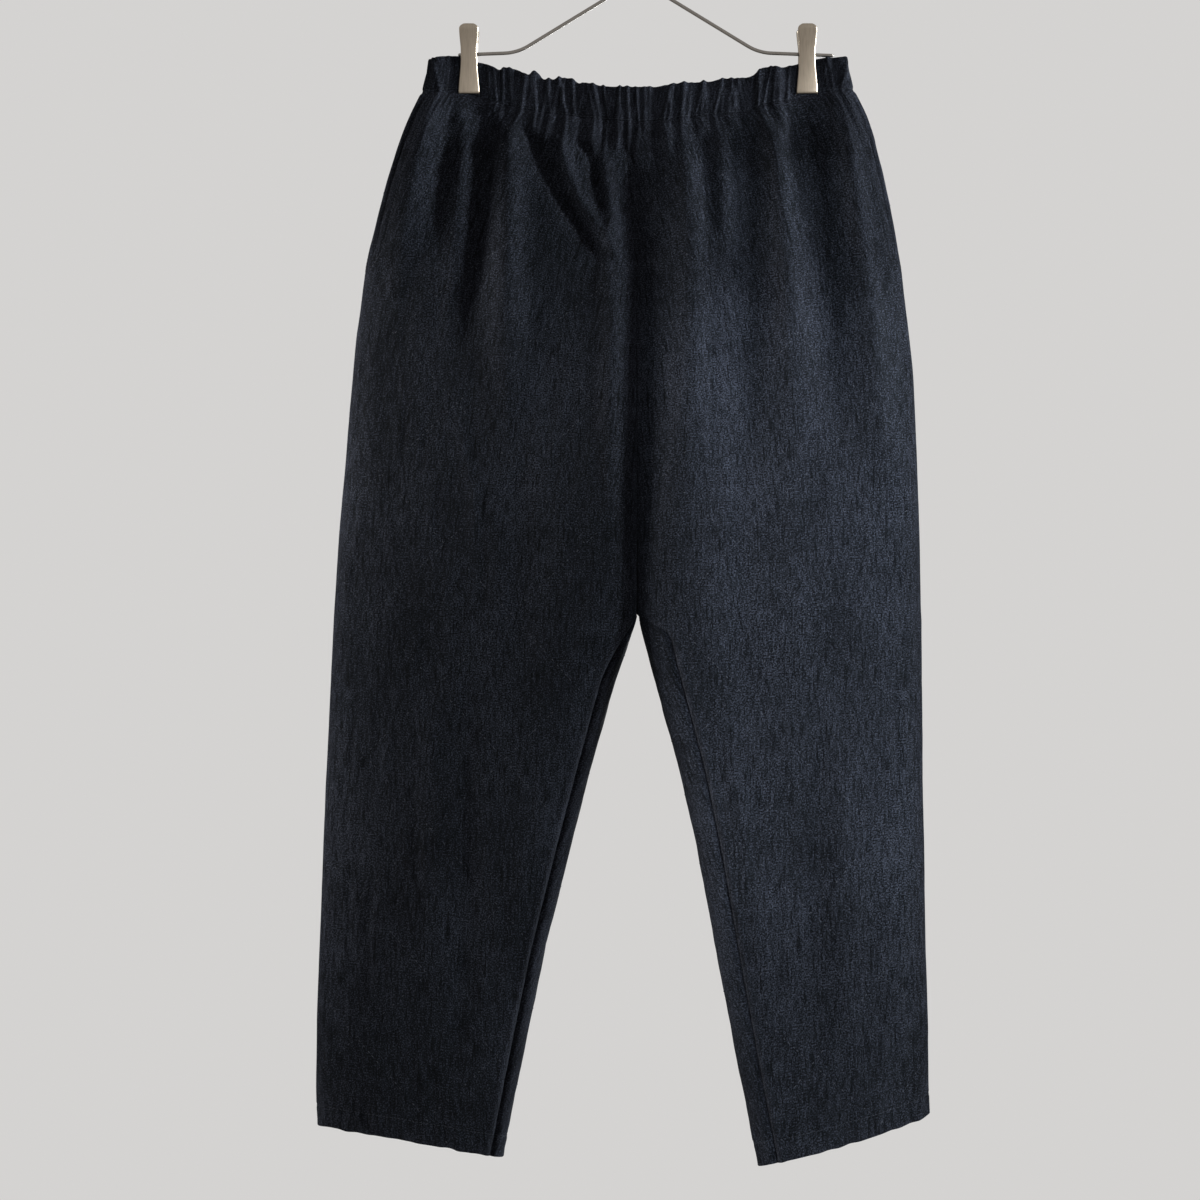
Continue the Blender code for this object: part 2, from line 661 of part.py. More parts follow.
def hook_path():
    """Straight up the shank, across to the circle and over its crown to the open end."""
    centre_z = -HOOK_RADIUS + HOOK_WIRE
    join_angle = math.radians(-50)
    join = np.array((HOOK_RADIUS * math.cos(join_angle), 0.0, centre_z + HOOK_RADIUS * math.sin(join_angle)))
    heading = np.array((-math.sin(join_angle), 0.0, math.cos(join_angle)))
    foot = np.array((0.0, 0.0, -HOOK_JOIN))
    pull = 0.009
    controls = (foot, foot + np.array((0.0, 0.0, pull)), join - heading * pull, join)
    path = [np.array((0.0, 0.0, SHANK_END))]
    for share in np.linspace(0, 1, 9)[:-1]:
        weights = ((1 - share) ** 3, 3 * share * (1 - share) ** 2, 3 * share ** 2 * (1 - share), share ** 3)
        path.append(sum(weight * control for weight, control in zip(weights, controls)))
    for angle in np.radians(np.linspace(-50, 205, 30)):
        path.append(np.array((HOOK_RADIUS * math.cos(angle), 0.0, centre_z + HOOK_RADIUS * math.sin(angle))))
    return [tuple(point) for point in path]


def turned(name, profile, steps, finish, collection):
    """A profile of (radius, height) points turned about Z and closed on itself."""
    mesh = bpy.data.meshes.new(name)
    edges = [(i, (i + 1) % len(profile)) for i in range(len(profile))]
    mesh.from_pydata([(radius, 0.0, height) for radius, height in profile], edges, [])
    thing = dress(bpy.data.objects.new(name, mesh), finish, collection)
    screw = thing.modifiers.new("turn", "SCREW")
    screw.steps = steps
    screw.render_steps = steps
    screw.use_merge_vertices = True
    screw.merge_threshold = 0.00005
    return thing


def make_hanger(collection, cutters):
    wire("hanger_frame", frame_path(), WIRE_RADIUS, "wire", collection)
    wire("hanger_hook", hook_path(), HOOK_WIRE, "wire", collection)
    bore = HOOK_WIRE + WIRE_CLEARANCE
    profile = (
        (bore, FERRULE_TOP), (FERRULE_RADIUS - 0.0008, FERRULE_TOP), (FERRULE_RADIUS, FERRULE_TOP - 0.0008),
        (FERRULE_RADIUS, FERRULE_BOTTOM + 0.0008), (FERRULE_RADIUS - 0.0008, FERRULE_BOTTOM),
        (bore, FERRULE_BOTTOM),
    )
    ferrule = turned("hanger_ferrule", profile, 16, "steel", collection)
    groove = as_mesh(wire("frame_groove", frame_path(), WIRE_RADIUS + WIRE_CLEARANCE, "wire", cutters), cutters)
    cut(ferrule, groove)


def make_clips(collection):
    """Two bent jaws on a sleeve round the bar, at each clip."""
    for side in (-1, 1):
        name = "clip_" + side_name(side)
        bore = WIRE_RADIUS + WIRE_CLEARANCE
        ends = (SLEEVE_HALF_LENGTH, -SLEEVE_HALF_LENGTH)
        profile = ((bore, ends[0]), (SLEEVE_RADIUS, ends[0]), (SLEEVE_RADIUS, ends[1]), (bore, ends[1]))
        sleeve = turned(name + "_sleeve", profile, 16, "steel", collection)
        sleeve.rotation_euler = (0.0, math.radians(90), 0.0)
        sleeve.location = (side * CLIP_X, 0.0, BAR_Z)
        for face, facing in (("front", -1), ("back", 1)):
            rings = []
            for height, half_width, stand_off in JAW_PROFILE["rows"]:
                near, far = facing * stand_off * MM, facing * (stand_off * MM + JAW_PLATE)
                z = JAW_BOTTOM_Z + height * MM
                ends_x = (side * CLIP_X - half_width * MM, side * CLIP_X + half_width * MM)
                rings.append([(ends_x[0], near, z), (ends_x[1], near, z), (ends_x[1], far, z), (ends_x[0], far, z)])
            loft(name + "_" + face + "_jaw", rings, "steel", collection)


def main():
    for thing in list(bpy.data.objects):
        bpy.data.objects.remove(thing, do_unlink=True)
    collection = new_collection("sashiko_trousers")
    cutters = new_collection("cutters")
    make_panels(collection)
    make_waistband(collection)
    make_pocket_bags(collection, cutters)
    make_hanger(collection, cutters)
    make_clips(collection)


main()
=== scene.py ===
import functools
import math

import bpy
import numpy as np
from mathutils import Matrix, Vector


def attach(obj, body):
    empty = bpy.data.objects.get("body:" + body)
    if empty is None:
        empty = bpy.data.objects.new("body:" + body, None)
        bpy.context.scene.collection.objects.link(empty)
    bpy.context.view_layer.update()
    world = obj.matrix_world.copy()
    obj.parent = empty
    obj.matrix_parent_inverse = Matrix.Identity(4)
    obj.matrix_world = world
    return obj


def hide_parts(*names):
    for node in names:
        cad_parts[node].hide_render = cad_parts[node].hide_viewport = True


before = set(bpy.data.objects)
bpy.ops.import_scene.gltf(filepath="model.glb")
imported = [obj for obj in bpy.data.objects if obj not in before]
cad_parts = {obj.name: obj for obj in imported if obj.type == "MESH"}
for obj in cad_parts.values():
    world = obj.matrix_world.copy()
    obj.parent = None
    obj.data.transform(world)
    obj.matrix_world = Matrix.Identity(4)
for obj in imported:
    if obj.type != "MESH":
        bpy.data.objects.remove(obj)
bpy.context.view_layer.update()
print("frame loaded:", len(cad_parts), "nodes")

# Metres, +Z up, origin at the hook's crown. The front faces -Y and the wearer's left is +X.
# Tables and folds are in millimetres. A drop is measured down from the waist's side corners.
mm = 0.001
sideNames = {1: "left", -1: "right"}
facings = {"front": -1, "back": 1}

cut = {
    "waistZ": -0.148, "bandDepth": 0.029, "crotchDrop": 0.462,
    "sagEndDrop": 0.330, "sagSoftness": 0.012,
    "hemTurning": 0.017, "hemDrop": {1: 0.8755, -1: 0.8855}, "hemSlope": {1: 0.0435, -1: 0.0262},
    "hemBend": {1: 0.84, -1: 1.25},
    "clipX": 0.140, "pinchCore": 0.011, "pinchReach": 0.027, "pinchEndDrop": 0.095,
    "bandHalfDepth": 0.0072, "pinchedDepth": 0.0042, "tuckedWall": 0.0004,
    "pocketTop": 0.031, "pocketEnd": 0.180, "stripWidth": 0.0065, "stripTaperDrop": 0.158,
    "pocketGape": 0.0088, "gapeReach": 0.030, "stripPress": 0.0036,
    "inseamWidth": {1: 0.0203, -1: 0.0092}, "inseamTaper": {1: 0.36, -1: 0.15},
    "inseamRun": {1: 0.015, -1: 0.050}, "innerPower": 4,
    "valleyDepth": 0.0070, "valleyReach": {1: 0.018, -1: 0.011},
}

outline = {
    "columns": ("drop", "right", "left"),
    "rows": (
        (0, 174.3, 173.5), (12, 175.3, 175), (27, 179.3, 178.8), (35, 183.5, 183), (43, 187.5, 187),
        (52, 191.5, 190.8), (68, 197.5, 196.3), (101, 208, 204.5), (135, 217, 211.5), (168, 225, 217.8),
        (201, 229.5, 221.5), (234, 234, 225.5), (267, 237, 228.8), (334, 242.5, 231.8), (400, 248.5, 233.8),
        (466, 252.5, 235.2),
        (599, 259, 236.5), (741, 264.5, 239), (798, 266.5, 240.8), (865, 267.5, 241.5), (885, 266, 243),
    ),
}

innerEdge = {
    "columns": ("drop", "right", "left"),
    "rows": (
        (462, 0.15, 0.15), (468, 1.0, 0.5), (518, 19, 14), (587, 38, 33.5), (657, 56.5, 49),
        (740, 77, 64.5), (832, 96, 82), (919, 113.5, 100),
    ),
}

centreSeam = {
    "columns": ("drop", "x"),
    "rows": ((0, -12), (50, -11), (110, -7.5), (130, -4), (160, -2), (460, -1)),
}

waistSagTable = {
    "columns": ("x", "sag"),
    "rows": (
        (-175, 1), (-163, -0.2), (-156, -1), (-149, -2.6), (-140, 1), (-131, 4.6), (-122, 7.8),
        (-112, 10.8), (-100, 13.9), (-85, 16.5), (-45, 22), (0, 25.6), (50, 20.5),
        (92, 17), (103, 10), (125, 7.6), (140, 3), (149, 0.9), (161, -0.8), (172, -1.4), (175, -0.8),
    ),
}

# half-depths front and back, how far each fold's rounding runs in, and the centre's share of the depth
sections = {
    "columns": ("drop", "front", "back", "outerRun", "innerRun", "centre"),
    "rows": (
        (29, 7.2, 7.2, 8, 90, 1000), (34, 8.4, 8.4, 10, 90, 1000), (43, 10.2, 10.6, 15, 90, 1000),
        (60, 12.0, 13.0, 22, 90, 1000), (105, 16.0, 18.0, 42, 90, 980),
        (180, 21.0, 24.0, 66, 95, 920), (260, 24.0, 28.0, 80, 100, 830), (325, 25.5, 30.0, 90, 104, 710),
        (390, 26.0, 31.0, 96, 106, 520), (430, 26.0, 31.0, 100, 106, 330), (450, 26.0, 31.0, 100, 106, 180),
        (461.5, 26.0, 31.0, 100, 106, 75), (463, 26.0, 31.0, 100, 106, 0), (560, 25.0, 29.0, 92, 92, 0),
        (700, 22.0, 25.0, 80, 80, 0), (800, 19.0, 21.5, 74, 74, 0), (885, 16.0, 18.0, 68, 68, 0),
    ),
}

# name, x and drop of its top, x and drop of its end, how far it bows aside, spread and height
frontFolds = (
    ("pocketRidgeRight", -172, 42, -206, 240, -4, 10, 4.0),
    ("sideTroughRight", -157, 44, -174, 175, 2, 8, -3.0),
    ("clipRidgeRight", -143, 34, -160, 220, 3, 7, 3.0),
    ("clipTroughRight", -124, 32, -146, 270, 3, 9, -5.8),
    ("broadRidgeRight", -105, 36, -112, 340, 0, 13, 8.0),
    ("slantingTrough", -95, 40, -8, 185, -3, 8, -6.4),
    ("slantingRidge", -66, 44, -26, 150, -5, 7, 4.4),
    ("shortTrough", -47, 44, -26, 150, 6, 6, -4.2),
    ("seamRidgeRight", -27, 52, -24, 450, 4, 9, 4.2),
    ("seamRidgeLeft", 39, 44, 29, 440, 8, 13, 6.2),
    ("littleTroughLeft", 55, 42, 62, 150, 0, 6, -3.0),
    ("middleRidgeLeft", 71, 38, 68, 170, 2, 8, 2.8),
    ("middleTroughLeft", 88, 40, 90, 380, 2, 13, -7.4),
    ("clipRidgeLeft", 112, 32, 128, 360, 4, 11, 7.8),
    ("clipTroughLeft", 137, 38, 166, 390, 4, 13, -7.6),
    ("pocketRidgeLeft", 170, 46, 207, 390, 4, 11, 6.4),
)

backFolds = (
    ("sideRidgeRight", -164, 38, -196, 240, 0, 11, 4.4),
    ("clipTroughRight", -130, 32, -144, 250, 2, 10, -5.4),
    ("broadRidgeRight", -104, 38, -112, 320, 3, 14, 5.8),
    ("slantingTroughRight", -78, 42, -36, 240, -6, 8, -4.8),
    ("seatRidgeRight", -42, 46, -28, 360, 4, 12, 4.4),
    ("seatTrough", -13, 56, -6, 280, 0, 9, -3.4),
    ("seatRidgeLeft", 26, 44, 34, 360, 3, 12, 4.4),
    ("slantingTroughLeft", 64, 42, 50, 230, 5, 9, -4.6),
    ("broadRidgeLeft", 92, 38, 102, 320, -3, 13, 5.8),
    ("clipTroughLeft", 126, 32, 142, 250, 2, 10, -5.2),
    ("sideRidgeLeft", 160, 38, 188, 260, 3, 12, 4.4),
)

# creases finer than the solids carry
frontCreases = (
    ("slantingCrease", -52, 104, -10, 178, 1, 2.4, -1.5),
    ("slantingCreaseLip", -46, 101, -4, 174, 1, 3.0, 1.3),
    ("thighCreaseRight", -150, 300, -128, 430, 3, 6, 0.9),
    ("thighHollowRight", -96, 330, -92, 560, -4, 12, -1.6),
    ("shinRidgeRight", -170, 520, -178, 860, 4, 14, 1.8),
    ("shinHollowRight", -138, 560, -150, 880, 3, 11, -1.6),
    ("hipDragLeft", 150, 205, 202, 285, 3, 6.0, -0.8),
    ("thighRidgeLeft", 122, 320, 128, 620, 4, 16, 2.2),
    ("thighHollowLeft", 82, 300, 94, 640, -3, 13, -2.0),
    ("shinRidgeLeft", 168, 560, 176, 870, -3, 13, 1.8),
    ("shinHollowLeft", 146, 520, 150, 860, -2, 11, -1.8),
    ("innerRidgeLeft", 74, 560, 118, 860, 2, 8, 1.6),
)

backCreases = (
    ("seatDragRight", -38, 330, -88, 400, 4, 6, 1.6),
    ("seatDragRightUnder", -30, 344, -80, 416, 4, 6, -1.6),
    ("seatDragLeft", 34, 336, 86, 404, -4, 6, 1.5),
    ("seatDragLeftUnder", 27, 350, 78, 420, -4, 6, -1.5),
    ("calfRidgeRight", -160, 470, -190, 860, 6, 15, 2.2),
    ("calfHollowRight", -112, 500, -140, 860, 4, 12, -2.0),
    ("calfRidgeLeft", 146, 480, 168, 850, -5, 15, 2.2),
    ("calfHollowLeft", 100, 520, 128, 860, -4, 12, -2.0),
)


def ease(share):
    # 0 up to 0, 1 from 1, with a smooth step between them
    share = np.clip(share, 0.0, 1.0)
    return share * share * (3 - 2 * share)


def bell(distance, reach):
    # 1 at no distance, 0.37 at its reach, soon 0 beyond
    return np.exp(-(distance / reach) ** 2)


def reading(table, name, where, unit=mm):
    # a named column, read between its rows at a distance in metres
    spot = table["columns"].index(name)
    keys = np.array([row[0] for row in table["rows"]]) * mm
    values = np.array([row[spot] for row in table["rows"]]) * unit
    return np.interp(where, keys, values)


def softReading(table, name, where, blur, unit=mm):
    # mean of the readings within a blur on both sides, weighted by a bell
    offsets = np.linspace(-1, 1, 9)
    weights = np.exp(-2 * offsets ** 2)
    readings = [w * reading(table, name, where + o * blur, unit) for w, o in zip(weights, offsets)]
    return sum(readings) / weights.sum()


def waistSag(x):
    # how far the waist's edge hangs below its side corners at a place across
    return softReading(waistSagTable, "sag", x, cut["sagSoftness"])


def sagFade(drop):
    # the waist's sag is whole on the band and gone at its end drop
    return 1 - ease((drop - cut["bandDepth"]) / (cut["sagEndDrop"] - cut["bandDepth"]))


def pinch(x):
    # 1 under a clip, 0 clear of it
    fromClip = abs(abs(x) - cut["clipX"])
    return 1 - ease((fromClip - cut["pinchCore"]) / (cut["pinchReach"] - cut["pinchCore"]))


def legShare(drop, side):
    # 0 down to the crotch, then evenly to 1 at the hem
    return np.clip((drop - cut["crotchDrop"]) / (cut["hemDrop"][side] - cut["crotchDrop"]), 0, 1)


def heightOf(x, drop, acrossShare, side):
    # down by the drop, the waist's sag and the hem's slope, which grows down the leg and across it
    slope = cut["hemSlope"][side] * np.clip(acrossShare, 0, 1) ** cut["hemBend"][side]
    return cut["waistZ"] - drop - waistSag(x) * sagFade(drop) - slope * legShare(drop, side)


def foldHeight(x, drop, folds):
    # each fold is a bell across its own bowed path, faded at both ends; the folds add up
    total = np.zeros_like(x)
    for _, xTop, dropTop, xEnd, dropEnd, bow, spread, height in folds:
        share = (drop / mm - dropTop) / (dropEnd - dropTop)
        if 0 < share < 1:
            middle = xTop + (xEnd - xTop) * share + bow * math.sin(math.pi * share)
            fade = ease(share / 0.10) * (1 - ease((share - 0.5) / 0.5))
            total += height * mm * fade * bell(x / mm - middle, spread * (0.75 + 0.5 * share))
    return total


def valleyHeight(x, drop):
    # the hollow along the centre-front seam: a bell with its own reach on each side
    fromSeam = x - reading(centreSeam, "x", drop)
    reach = np.where(fromSeam > 0, cut["valleyReach"][1], cut["valleyReach"][-1])
    strength = ease((drop - 0.030) / 0.07) * (1 - ease((drop - 0.36) / 0.09))
    return -cut["valleyDepth"] * strength * bell(fromSeam, reach)


def pocketBell(drop):
    # how far a pocket's mouth stands open down its length, 0 at both ends
    share = np.clip((drop - cut["pocketTop"]) / (cut["pocketEnd"] - cut["pocketTop"]), 0, 1)
    return np.sin(np.pi * share) ** 0.6


def stripWidth(drop):
    # the back's strip that shows round the side fold, tapering to nothing at the pocket's end
    taper = (drop - cut["stripTaperDrop"]) / (cut["pocketEnd"] - cut["stripTaperDrop"])
    return cut["stripWidth"] * (1 - ease(taper))


def inseamWidth(drop, side):
    # the inseam leaves the inner fold at once below the crotch, eases to its full width, then nears the
    # fold again by a taper times a power of the share down the leg
    start = min(0.0014, max(0, 0.35 * (drop - cut["crotchDrop"])))
    width = cut["inseamWidth"][side] * (1 - cut["inseamTaper"][side] * legShare(drop, side) ** 0.8)
    return start + width * ease((drop - cut["crotchDrop"]) / cut["inseamRun"][side])


@functools.lru_cache(maxsize=None)
def latticeHeights(seed):
    # even random heights from -1 to 1, the same for each seed
    return np.random.default_rng(seed).uniform(-1, 1, (257, 521))


def latticeNoise(u, v, cellU, cellV, seed):
    # random heights on a lattice of cells, joined by smooth steps, from -1 to 1
    heights = latticeHeights(seed)
    a, b = u / cellU + 60.5, v / cellV + 20.5
    i, j = np.floor(a).astype(int), np.floor(b).astype(int)
    fu, fv = ease(a - i), ease(b - j)
    i, j = i % 256, j % 520
    upper = heights[i, j] * (1 - fu) + heights[i + 1, j] * fu
    lower = heights[i, j + 1] * (1 - fu) + heights[i + 1, j + 1] * fu
    return upper * (1 - fv) + lower * fv


def unit(vectors):
    # the same directions at a length of one
    return vectors / np.maximum(np.linalg.norm(vectors, axis=-1, keepdims=True), 1e-12)


def placesAlong(line, lengths, wanted, turn):
    # points of a line at wanted lengths, and the normals on its right, or on its left where turn is -1
    tangents = np.gradient(line, lengths, axis=0) * turn
    x, y, nx, ny = (np.interp(wanted, lengths, values)
                    for values in (line[:, 0], line[:, 1], tangents[:, 1], -tangents[:, 0]))
    size = np.hypot(nx, ny)
    return x, y, nx / size, ny / size


class CrossSection:
    # one side's half of the garment at a drop. Depth at a distance across is the full depth, times
    # a quarter ellipse in from the outer fold, times a flatter one in from the inner fold or centre seam

    def __init__(self, side, drop):
        self.side = side
        self.drop = drop
        name = sideNames[side]
        self.inLeg = drop > cut["crotchDrop"] + 1e-6
        if self.inLeg:
            slope = cut["hemSlope"][side] * legShare(drop, side)
            inner = softReading(innerEdge, name, drop + slope, 0.008)
        else:
            inner = side * softReading(centreSeam, "x", drop + waistSag(0.0) * sagFade(drop), 0.012)
        blur = 0.004 + 0.010 * ease((drop - 0.032) / 0.06)
        self.outer = softReading(outline, name, drop, blur)
        self.width = self.outer - inner
        turn = np.linspace(0, np.pi, 361)
        self.across = self.width * (1 - np.cos(turn)) / 2
        self.x = side * (self.outer - self.across)
        outerRun = softReading(sections, "outerRun", drop, 1.5 * blur)
        innerRun = softReading(sections, "innerRun", drop, 1.5 * blur)
        centre = 0.0 if self.inLeg else softReading(sections, "centre", drop, 0.012, 0.001)
        outerRound = np.sqrt(1 - (1 - np.minimum(1, self.across / outerRun)) ** 2)
        fromInner = np.minimum(1, (self.width - self.across) / innerRun)
        innerRound = np.sqrt(centre ** 2 + (1 - centre ** 2) * (1 - (1 - fromInner) ** cut["innerPower"]))
        pinchShare = (drop - cut["bandDepth"]) / (cut["pinchEndDrop"] - cut["bandDepth"])
        nearClip = pinch(self.x) * (1 - ease(pinchShare))
        self.depths = {}
        self.lengths = {}
        for face in ("front", "back"):
            depth = softReading(sections, face, drop, 1.5 * blur)
            depth = depth - (depth - cut["pinchedDepth"] - cut["tuckedWall"]) * nearClip
            self.depths[face] = depth * outerRound * innerRound
            steps = np.hypot(np.diff(self.x), np.diff(self.depths[face]))
            self.lengths[face] = np.concatenate(([0.0], np.cumsum(steps)))

    def reach(self, face, across):
        # the length round a face from the outer fold to a distance across
        return np.interp(across, self.across, self.lengths[face])

    def sample(self, wanted):
        # points and outward normals at lengths round the section, positive along the back
        front = np.column_stack((self.x, -self.depths["front"]))
        back = np.column_stack((self.x, self.depths["back"]))
        places = np.concatenate((-self.lengths["front"][:0:-1], self.lengths["back"]))
        points = np.concatenate((front[:0:-1], back))
        if self.inLeg:
            onward = self.lengths["back"][-1] + self.lengths["front"][-1] - self.lengths["front"][-2::-1]
            places = np.concatenate((places, onward))
            points = np.concatenate((points, front[-2::-1]))
        return placesAlong(points, places, wanted, self.side)

    def moved(self, x, y, face):
        # how far the folds push each point out along Y: nothing at the side and inner folds
        fromOuter = self.outer - self.side * x
        calm = ease(fromOuter / 0.030)
        if self.inLeg:
            calm = calm * ease((self.width - fromOuter) / 0.028)
        if face == "back":
            heights = np.where(y > 0, foldHeight(x, self.drop, backFolds + backCreases), 0) * calm
            press = cut["stripPress"] * pocketBell(self.drop) * ease(fromOuter / cut["stripWidth"])
            return heights - np.where((y < 0) & (fromOuter < 0.02), press, 0)
        heights = (foldHeight(x, self.drop, frontFolds + frontCreases) + valleyHeight(x, self.drop)) * calm
        fromEdge = fromOuter - stripWidth(self.drop)
        return heights + cut["pocketGape"] * pocketBell(self.drop) * bell(fromEdge, cut["gapeReach"])


def gridFaces(rows, columns, closedAlong=False, closedAcross=False):
    # vertex numbers of the quads between neighbouring rows and columns of a grid
    r = np.arange(rows if closedAlong else rows - 1)[:, None]
    c = np.arange(columns if closedAcross else columns - 1)[None, :]
    r2, c2 = (r + 1) % rows, (c + 1) % columns
    quads = (r * columns + c, r * columns + c2, r2 * columns + c2, r2 * columns + c)
    return np.stack([np.broadcast_to(q, (r.size, c.size)) for q in quads], axis=-1).reshape(-1, 4)


def addObject(name, data):
    # a new object at the origin, unturned, in the scene's own collection
    made = bpy.data.objects.new(name, data)
    bpy.context.scene.collection.objects.link(made)
    return made


def makeMesh(name, points, faces, material, replaced=(), uv=None, wall=0.0):
    # a mesh from a grid's points, with its own flat map and, on cloth and plate, a wall inwards
    mesh = bpy.data.meshes.new(name)
    faces = faces if isinstance(faces, list) else faces.tolist()
    mesh.from_pydata(points.reshape(-1, 3).tolist(), [], faces)
    mesh.shade_smooth()
    if uv is not None:
        layer = mesh.uv_layers.new(name="clothMap")
        corners = np.empty(len(mesh.loops), dtype=np.int32)
        mesh.loops.foreach_get("vertex_index", corners)
        layer.data.foreach_set("uv", uv.reshape(-1, 2)[corners].astype(np.float32).ravel())
    mesh.validate()
    mesh.materials.append(material)
    piece = addObject(name, mesh)
    if wall:
        shell = piece.modifiers.new("wall", "SOLIDIFY")
        shell.thickness = wall
        shell.offset = -1
    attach(piece, "root")
    if replaced:
        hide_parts(*replaced)
    return piece


def lengthsAlong(points, way):
    # the length of each of a grid's lines, one way or the other
    return np.linalg.norm(np.diff(points, axis=way), axis=-1).sum(axis=way)


def gridArea(points):
    # half the cross product of each quad's diagonals, added up
    a, b, c, d = points[:-1, :-1], points[:-1, 1:], points[1:, 1:], points[1:, :-1]
    return float(np.linalg.norm(np.cross(c - a, d - b), axis=-1).sum() / 2)


def tube(path, radii, sides, reference):
    # a circle carried along a path, square to it; the reference keeps it from twisting
    tangents = unit(np.gradient(path, axis=0))
    beside = unit(np.cross(tangents, reference))
    above = np.cross(beside, tangents)
    turn = np.linspace(0, 2 * np.pi, sides, endpoint=False)
    ring = beside[:, None] * np.cos(turn)[None, :, None] + above[:, None] * np.sin(turn)[None, :, None]
    return path[:, None] + ring * np.asarray(radii)[:, None, None]


def tubeFaces(rows, sides):
    # a tube's quads, with a cap of one face at each end
    faces = gridFaces(rows, sides, closedAcross=True)[:, ::-1].tolist()
    faces.append(list(range(sides)))
    faces.append(list(range(rows * sides - 1, (rows - 1) * sides - 1, -1)))
    return faces


def roundEnds(path, radius, steps=4):
    # stations and radii for a path whose ends are domed: a quarter circle at each end
    turn = np.linspace(np.pi / 2, 0.12, steps)[1:]
    reach, shrink = radius * np.cos(turn), radius * np.sin(turn)
    start = path[0] + unit(path[0] - path[1]) * reach[::-1, None]
    end = path[-1] + unit(path[-1] - path[-2]) * reach[:, None]
    radii = np.concatenate((shrink[::-1], np.full(len(path), radius), shrink))
    return np.concatenate((start, path, end)), radii


clothLook = {
    "colour": (0.0046, 0.0052, 0.0072), "pale": (0.0175, 0.0198, 0.0268), "deep": (0.0010, 0.0012, 0.0017),
    "stops": (0.470, 0.562, 0.655), "crinkleShare": 0.20, "slubShare": 0.76, "patchShare": 0.13,
    "crinkle": (400.0, 90.0), "slub": (860.0, 860.0), "grain": (1900.0, 1600.0), "patch": (16.0, 9.0),
    # the streak keys give painted shade along thin creases, darkened where the streak bump presses them in
    "streak": (420.0, 44.0), "streakFrom": 0.45, "streakPaintedShade": -0.45, "streakBump": 0.0005,
    "crinkleBump": 0.00042, "slubBump": 0.00060, "grainBump": 0.00015,
    "roughness": 0.92, "specular": 0.03, "sheen": 0.02, "sheenTint": (0.60, 0.66, 0.80, 1.0),
}


class Shading:
    # a new material; an input given a node's output is linked, and any other is set on the socket itself

    def __init__(self, name):
        self.material = bpy.data.materials.new(name)
        self.material.use_nodes = True
        self.tree = self.material.node_tree
        self.shader = self.tree.nodes["Principled BSDF"]

    def fill(self, made, inputs):
        for key, value in inputs.items():
            if isinstance(value, bpy.types.NodeSocket):
                self.tree.links.new(value, made.inputs[key])
            else:
                made.inputs[key].default_value = value
        return made

    def add(self, kind, inputs, **values):
        made = self.tree.nodes.new(kind)
        for key, value in values.items():
            setattr(made, key, value)
        return self.fill(made, inputs)

    def place(self):
        return self.add("ShaderNodeTexCoord", {}).outputs["Object"]

    def noise(self, place, stretch, detail=3.0, roughness=0.55):
        vector = self.add("ShaderNodeMapping", {"Vector": place, "Scale": stretch}).outputs["Vector"]
        inputs = {"Vector": vector, "Scale": 1.0, "Detail": detail, "Roughness": roughness}
        return self.add("ShaderNodeTexNoise", inputs).outputs["Fac"]

    def ramp(self, source, stops):
        made = self.add("ShaderNodeValToRGB", {"Fac": source})
        elements = made.color_ramp.elements
        while len(elements) < len(stops):
            elements.new(0.5)
        for element, (place, colour) in zip(elements, stops):
            element.position = place
            element.color = (*colour, 1.0)
        return made.outputs["Color"]

    def bump(self, height, distance, before=None):
        # a negative distance presses the marks in
        inputs = {"Height": height, "Distance": abs(distance)}
        if before is not None:
            inputs["Normal"] = before
        return self.add("ShaderNodeBump", inputs, invert=distance < 0).outputs["Normal"]


def threeTones(colour, low, high):
    # a darker, the plain and a paler stop of one colour
    shares = ((0.3, low), (0.5, 1.0), (0.7, high))
    return [(place, tuple(min(1.0, share * c) for c in colour)) for place, share in shares]


def makeClothMaterial(name, look):
    # crinkle, slub and patch noises add up to a tone by their shares, and painted shade along long streak
    # creases lowers it where a stretched noise falls below a level; all but the patches also raise or press
    # the surface, the streaks pressed in where they are darkened
    shading = Shading(name)
    uv = shading.add("ShaderNodeUVMap", {}, uv_map="clothMap").outputs["UV"]
    crinkle = shading.noise(uv, (*look["crinkle"], 1))
    slub = shading.noise(uv, (*look["slub"], 1), roughness=0.65)
    grain = shading.noise(uv, (*look["grain"], 1), detail=2.0)
    patch = shading.noise(uv, (*look["patch"], 1))
    streak = shading.noise(uv, (*look["streak"], 1), detail=2.0)
    inputs = {0: look["streakFrom"], 1: streak}
    below = shading.add("ShaderNodeMath", inputs, operation="SUBTRACT", use_clamp=True).outputs[0]
    tone = 0.0
    # the streak term is painted shade, darkening the creases that the streak bump presses in
    for source, share in ((crinkle, "crinkleShare"), (slub, "slubShare"), (patch, "patchShare"),
                          (below, "streakPaintedShade")):
        inputs = {0: source, 1: look[share], 2: tone}
        tone = shading.add("ShaderNodeMath", inputs, operation="MULTIPLY_ADD").outputs[0]
    normal = shading.bump(below, -look["streakBump"])
    for source, depth in ((crinkle, "crinkleBump"), (slub, "slubBump"), (grain, "grainBump")):
        normal = shading.bump(source, look[depth], normal)
    stops = list(zip(look["stops"], (look["deep"], look["colour"], look["pale"])))
    shading.fill(shading.shader, {
        "Base Color": shading.ramp(tone, stops), "Roughness": look["roughness"], "Normal": normal,
        "Specular IOR Level": look["specular"], "Sheen Weight": look["sheen"], "Sheen Roughness": 0.45,
        "Sheen Tint": look["sheenTint"],
    })
    return shading.material


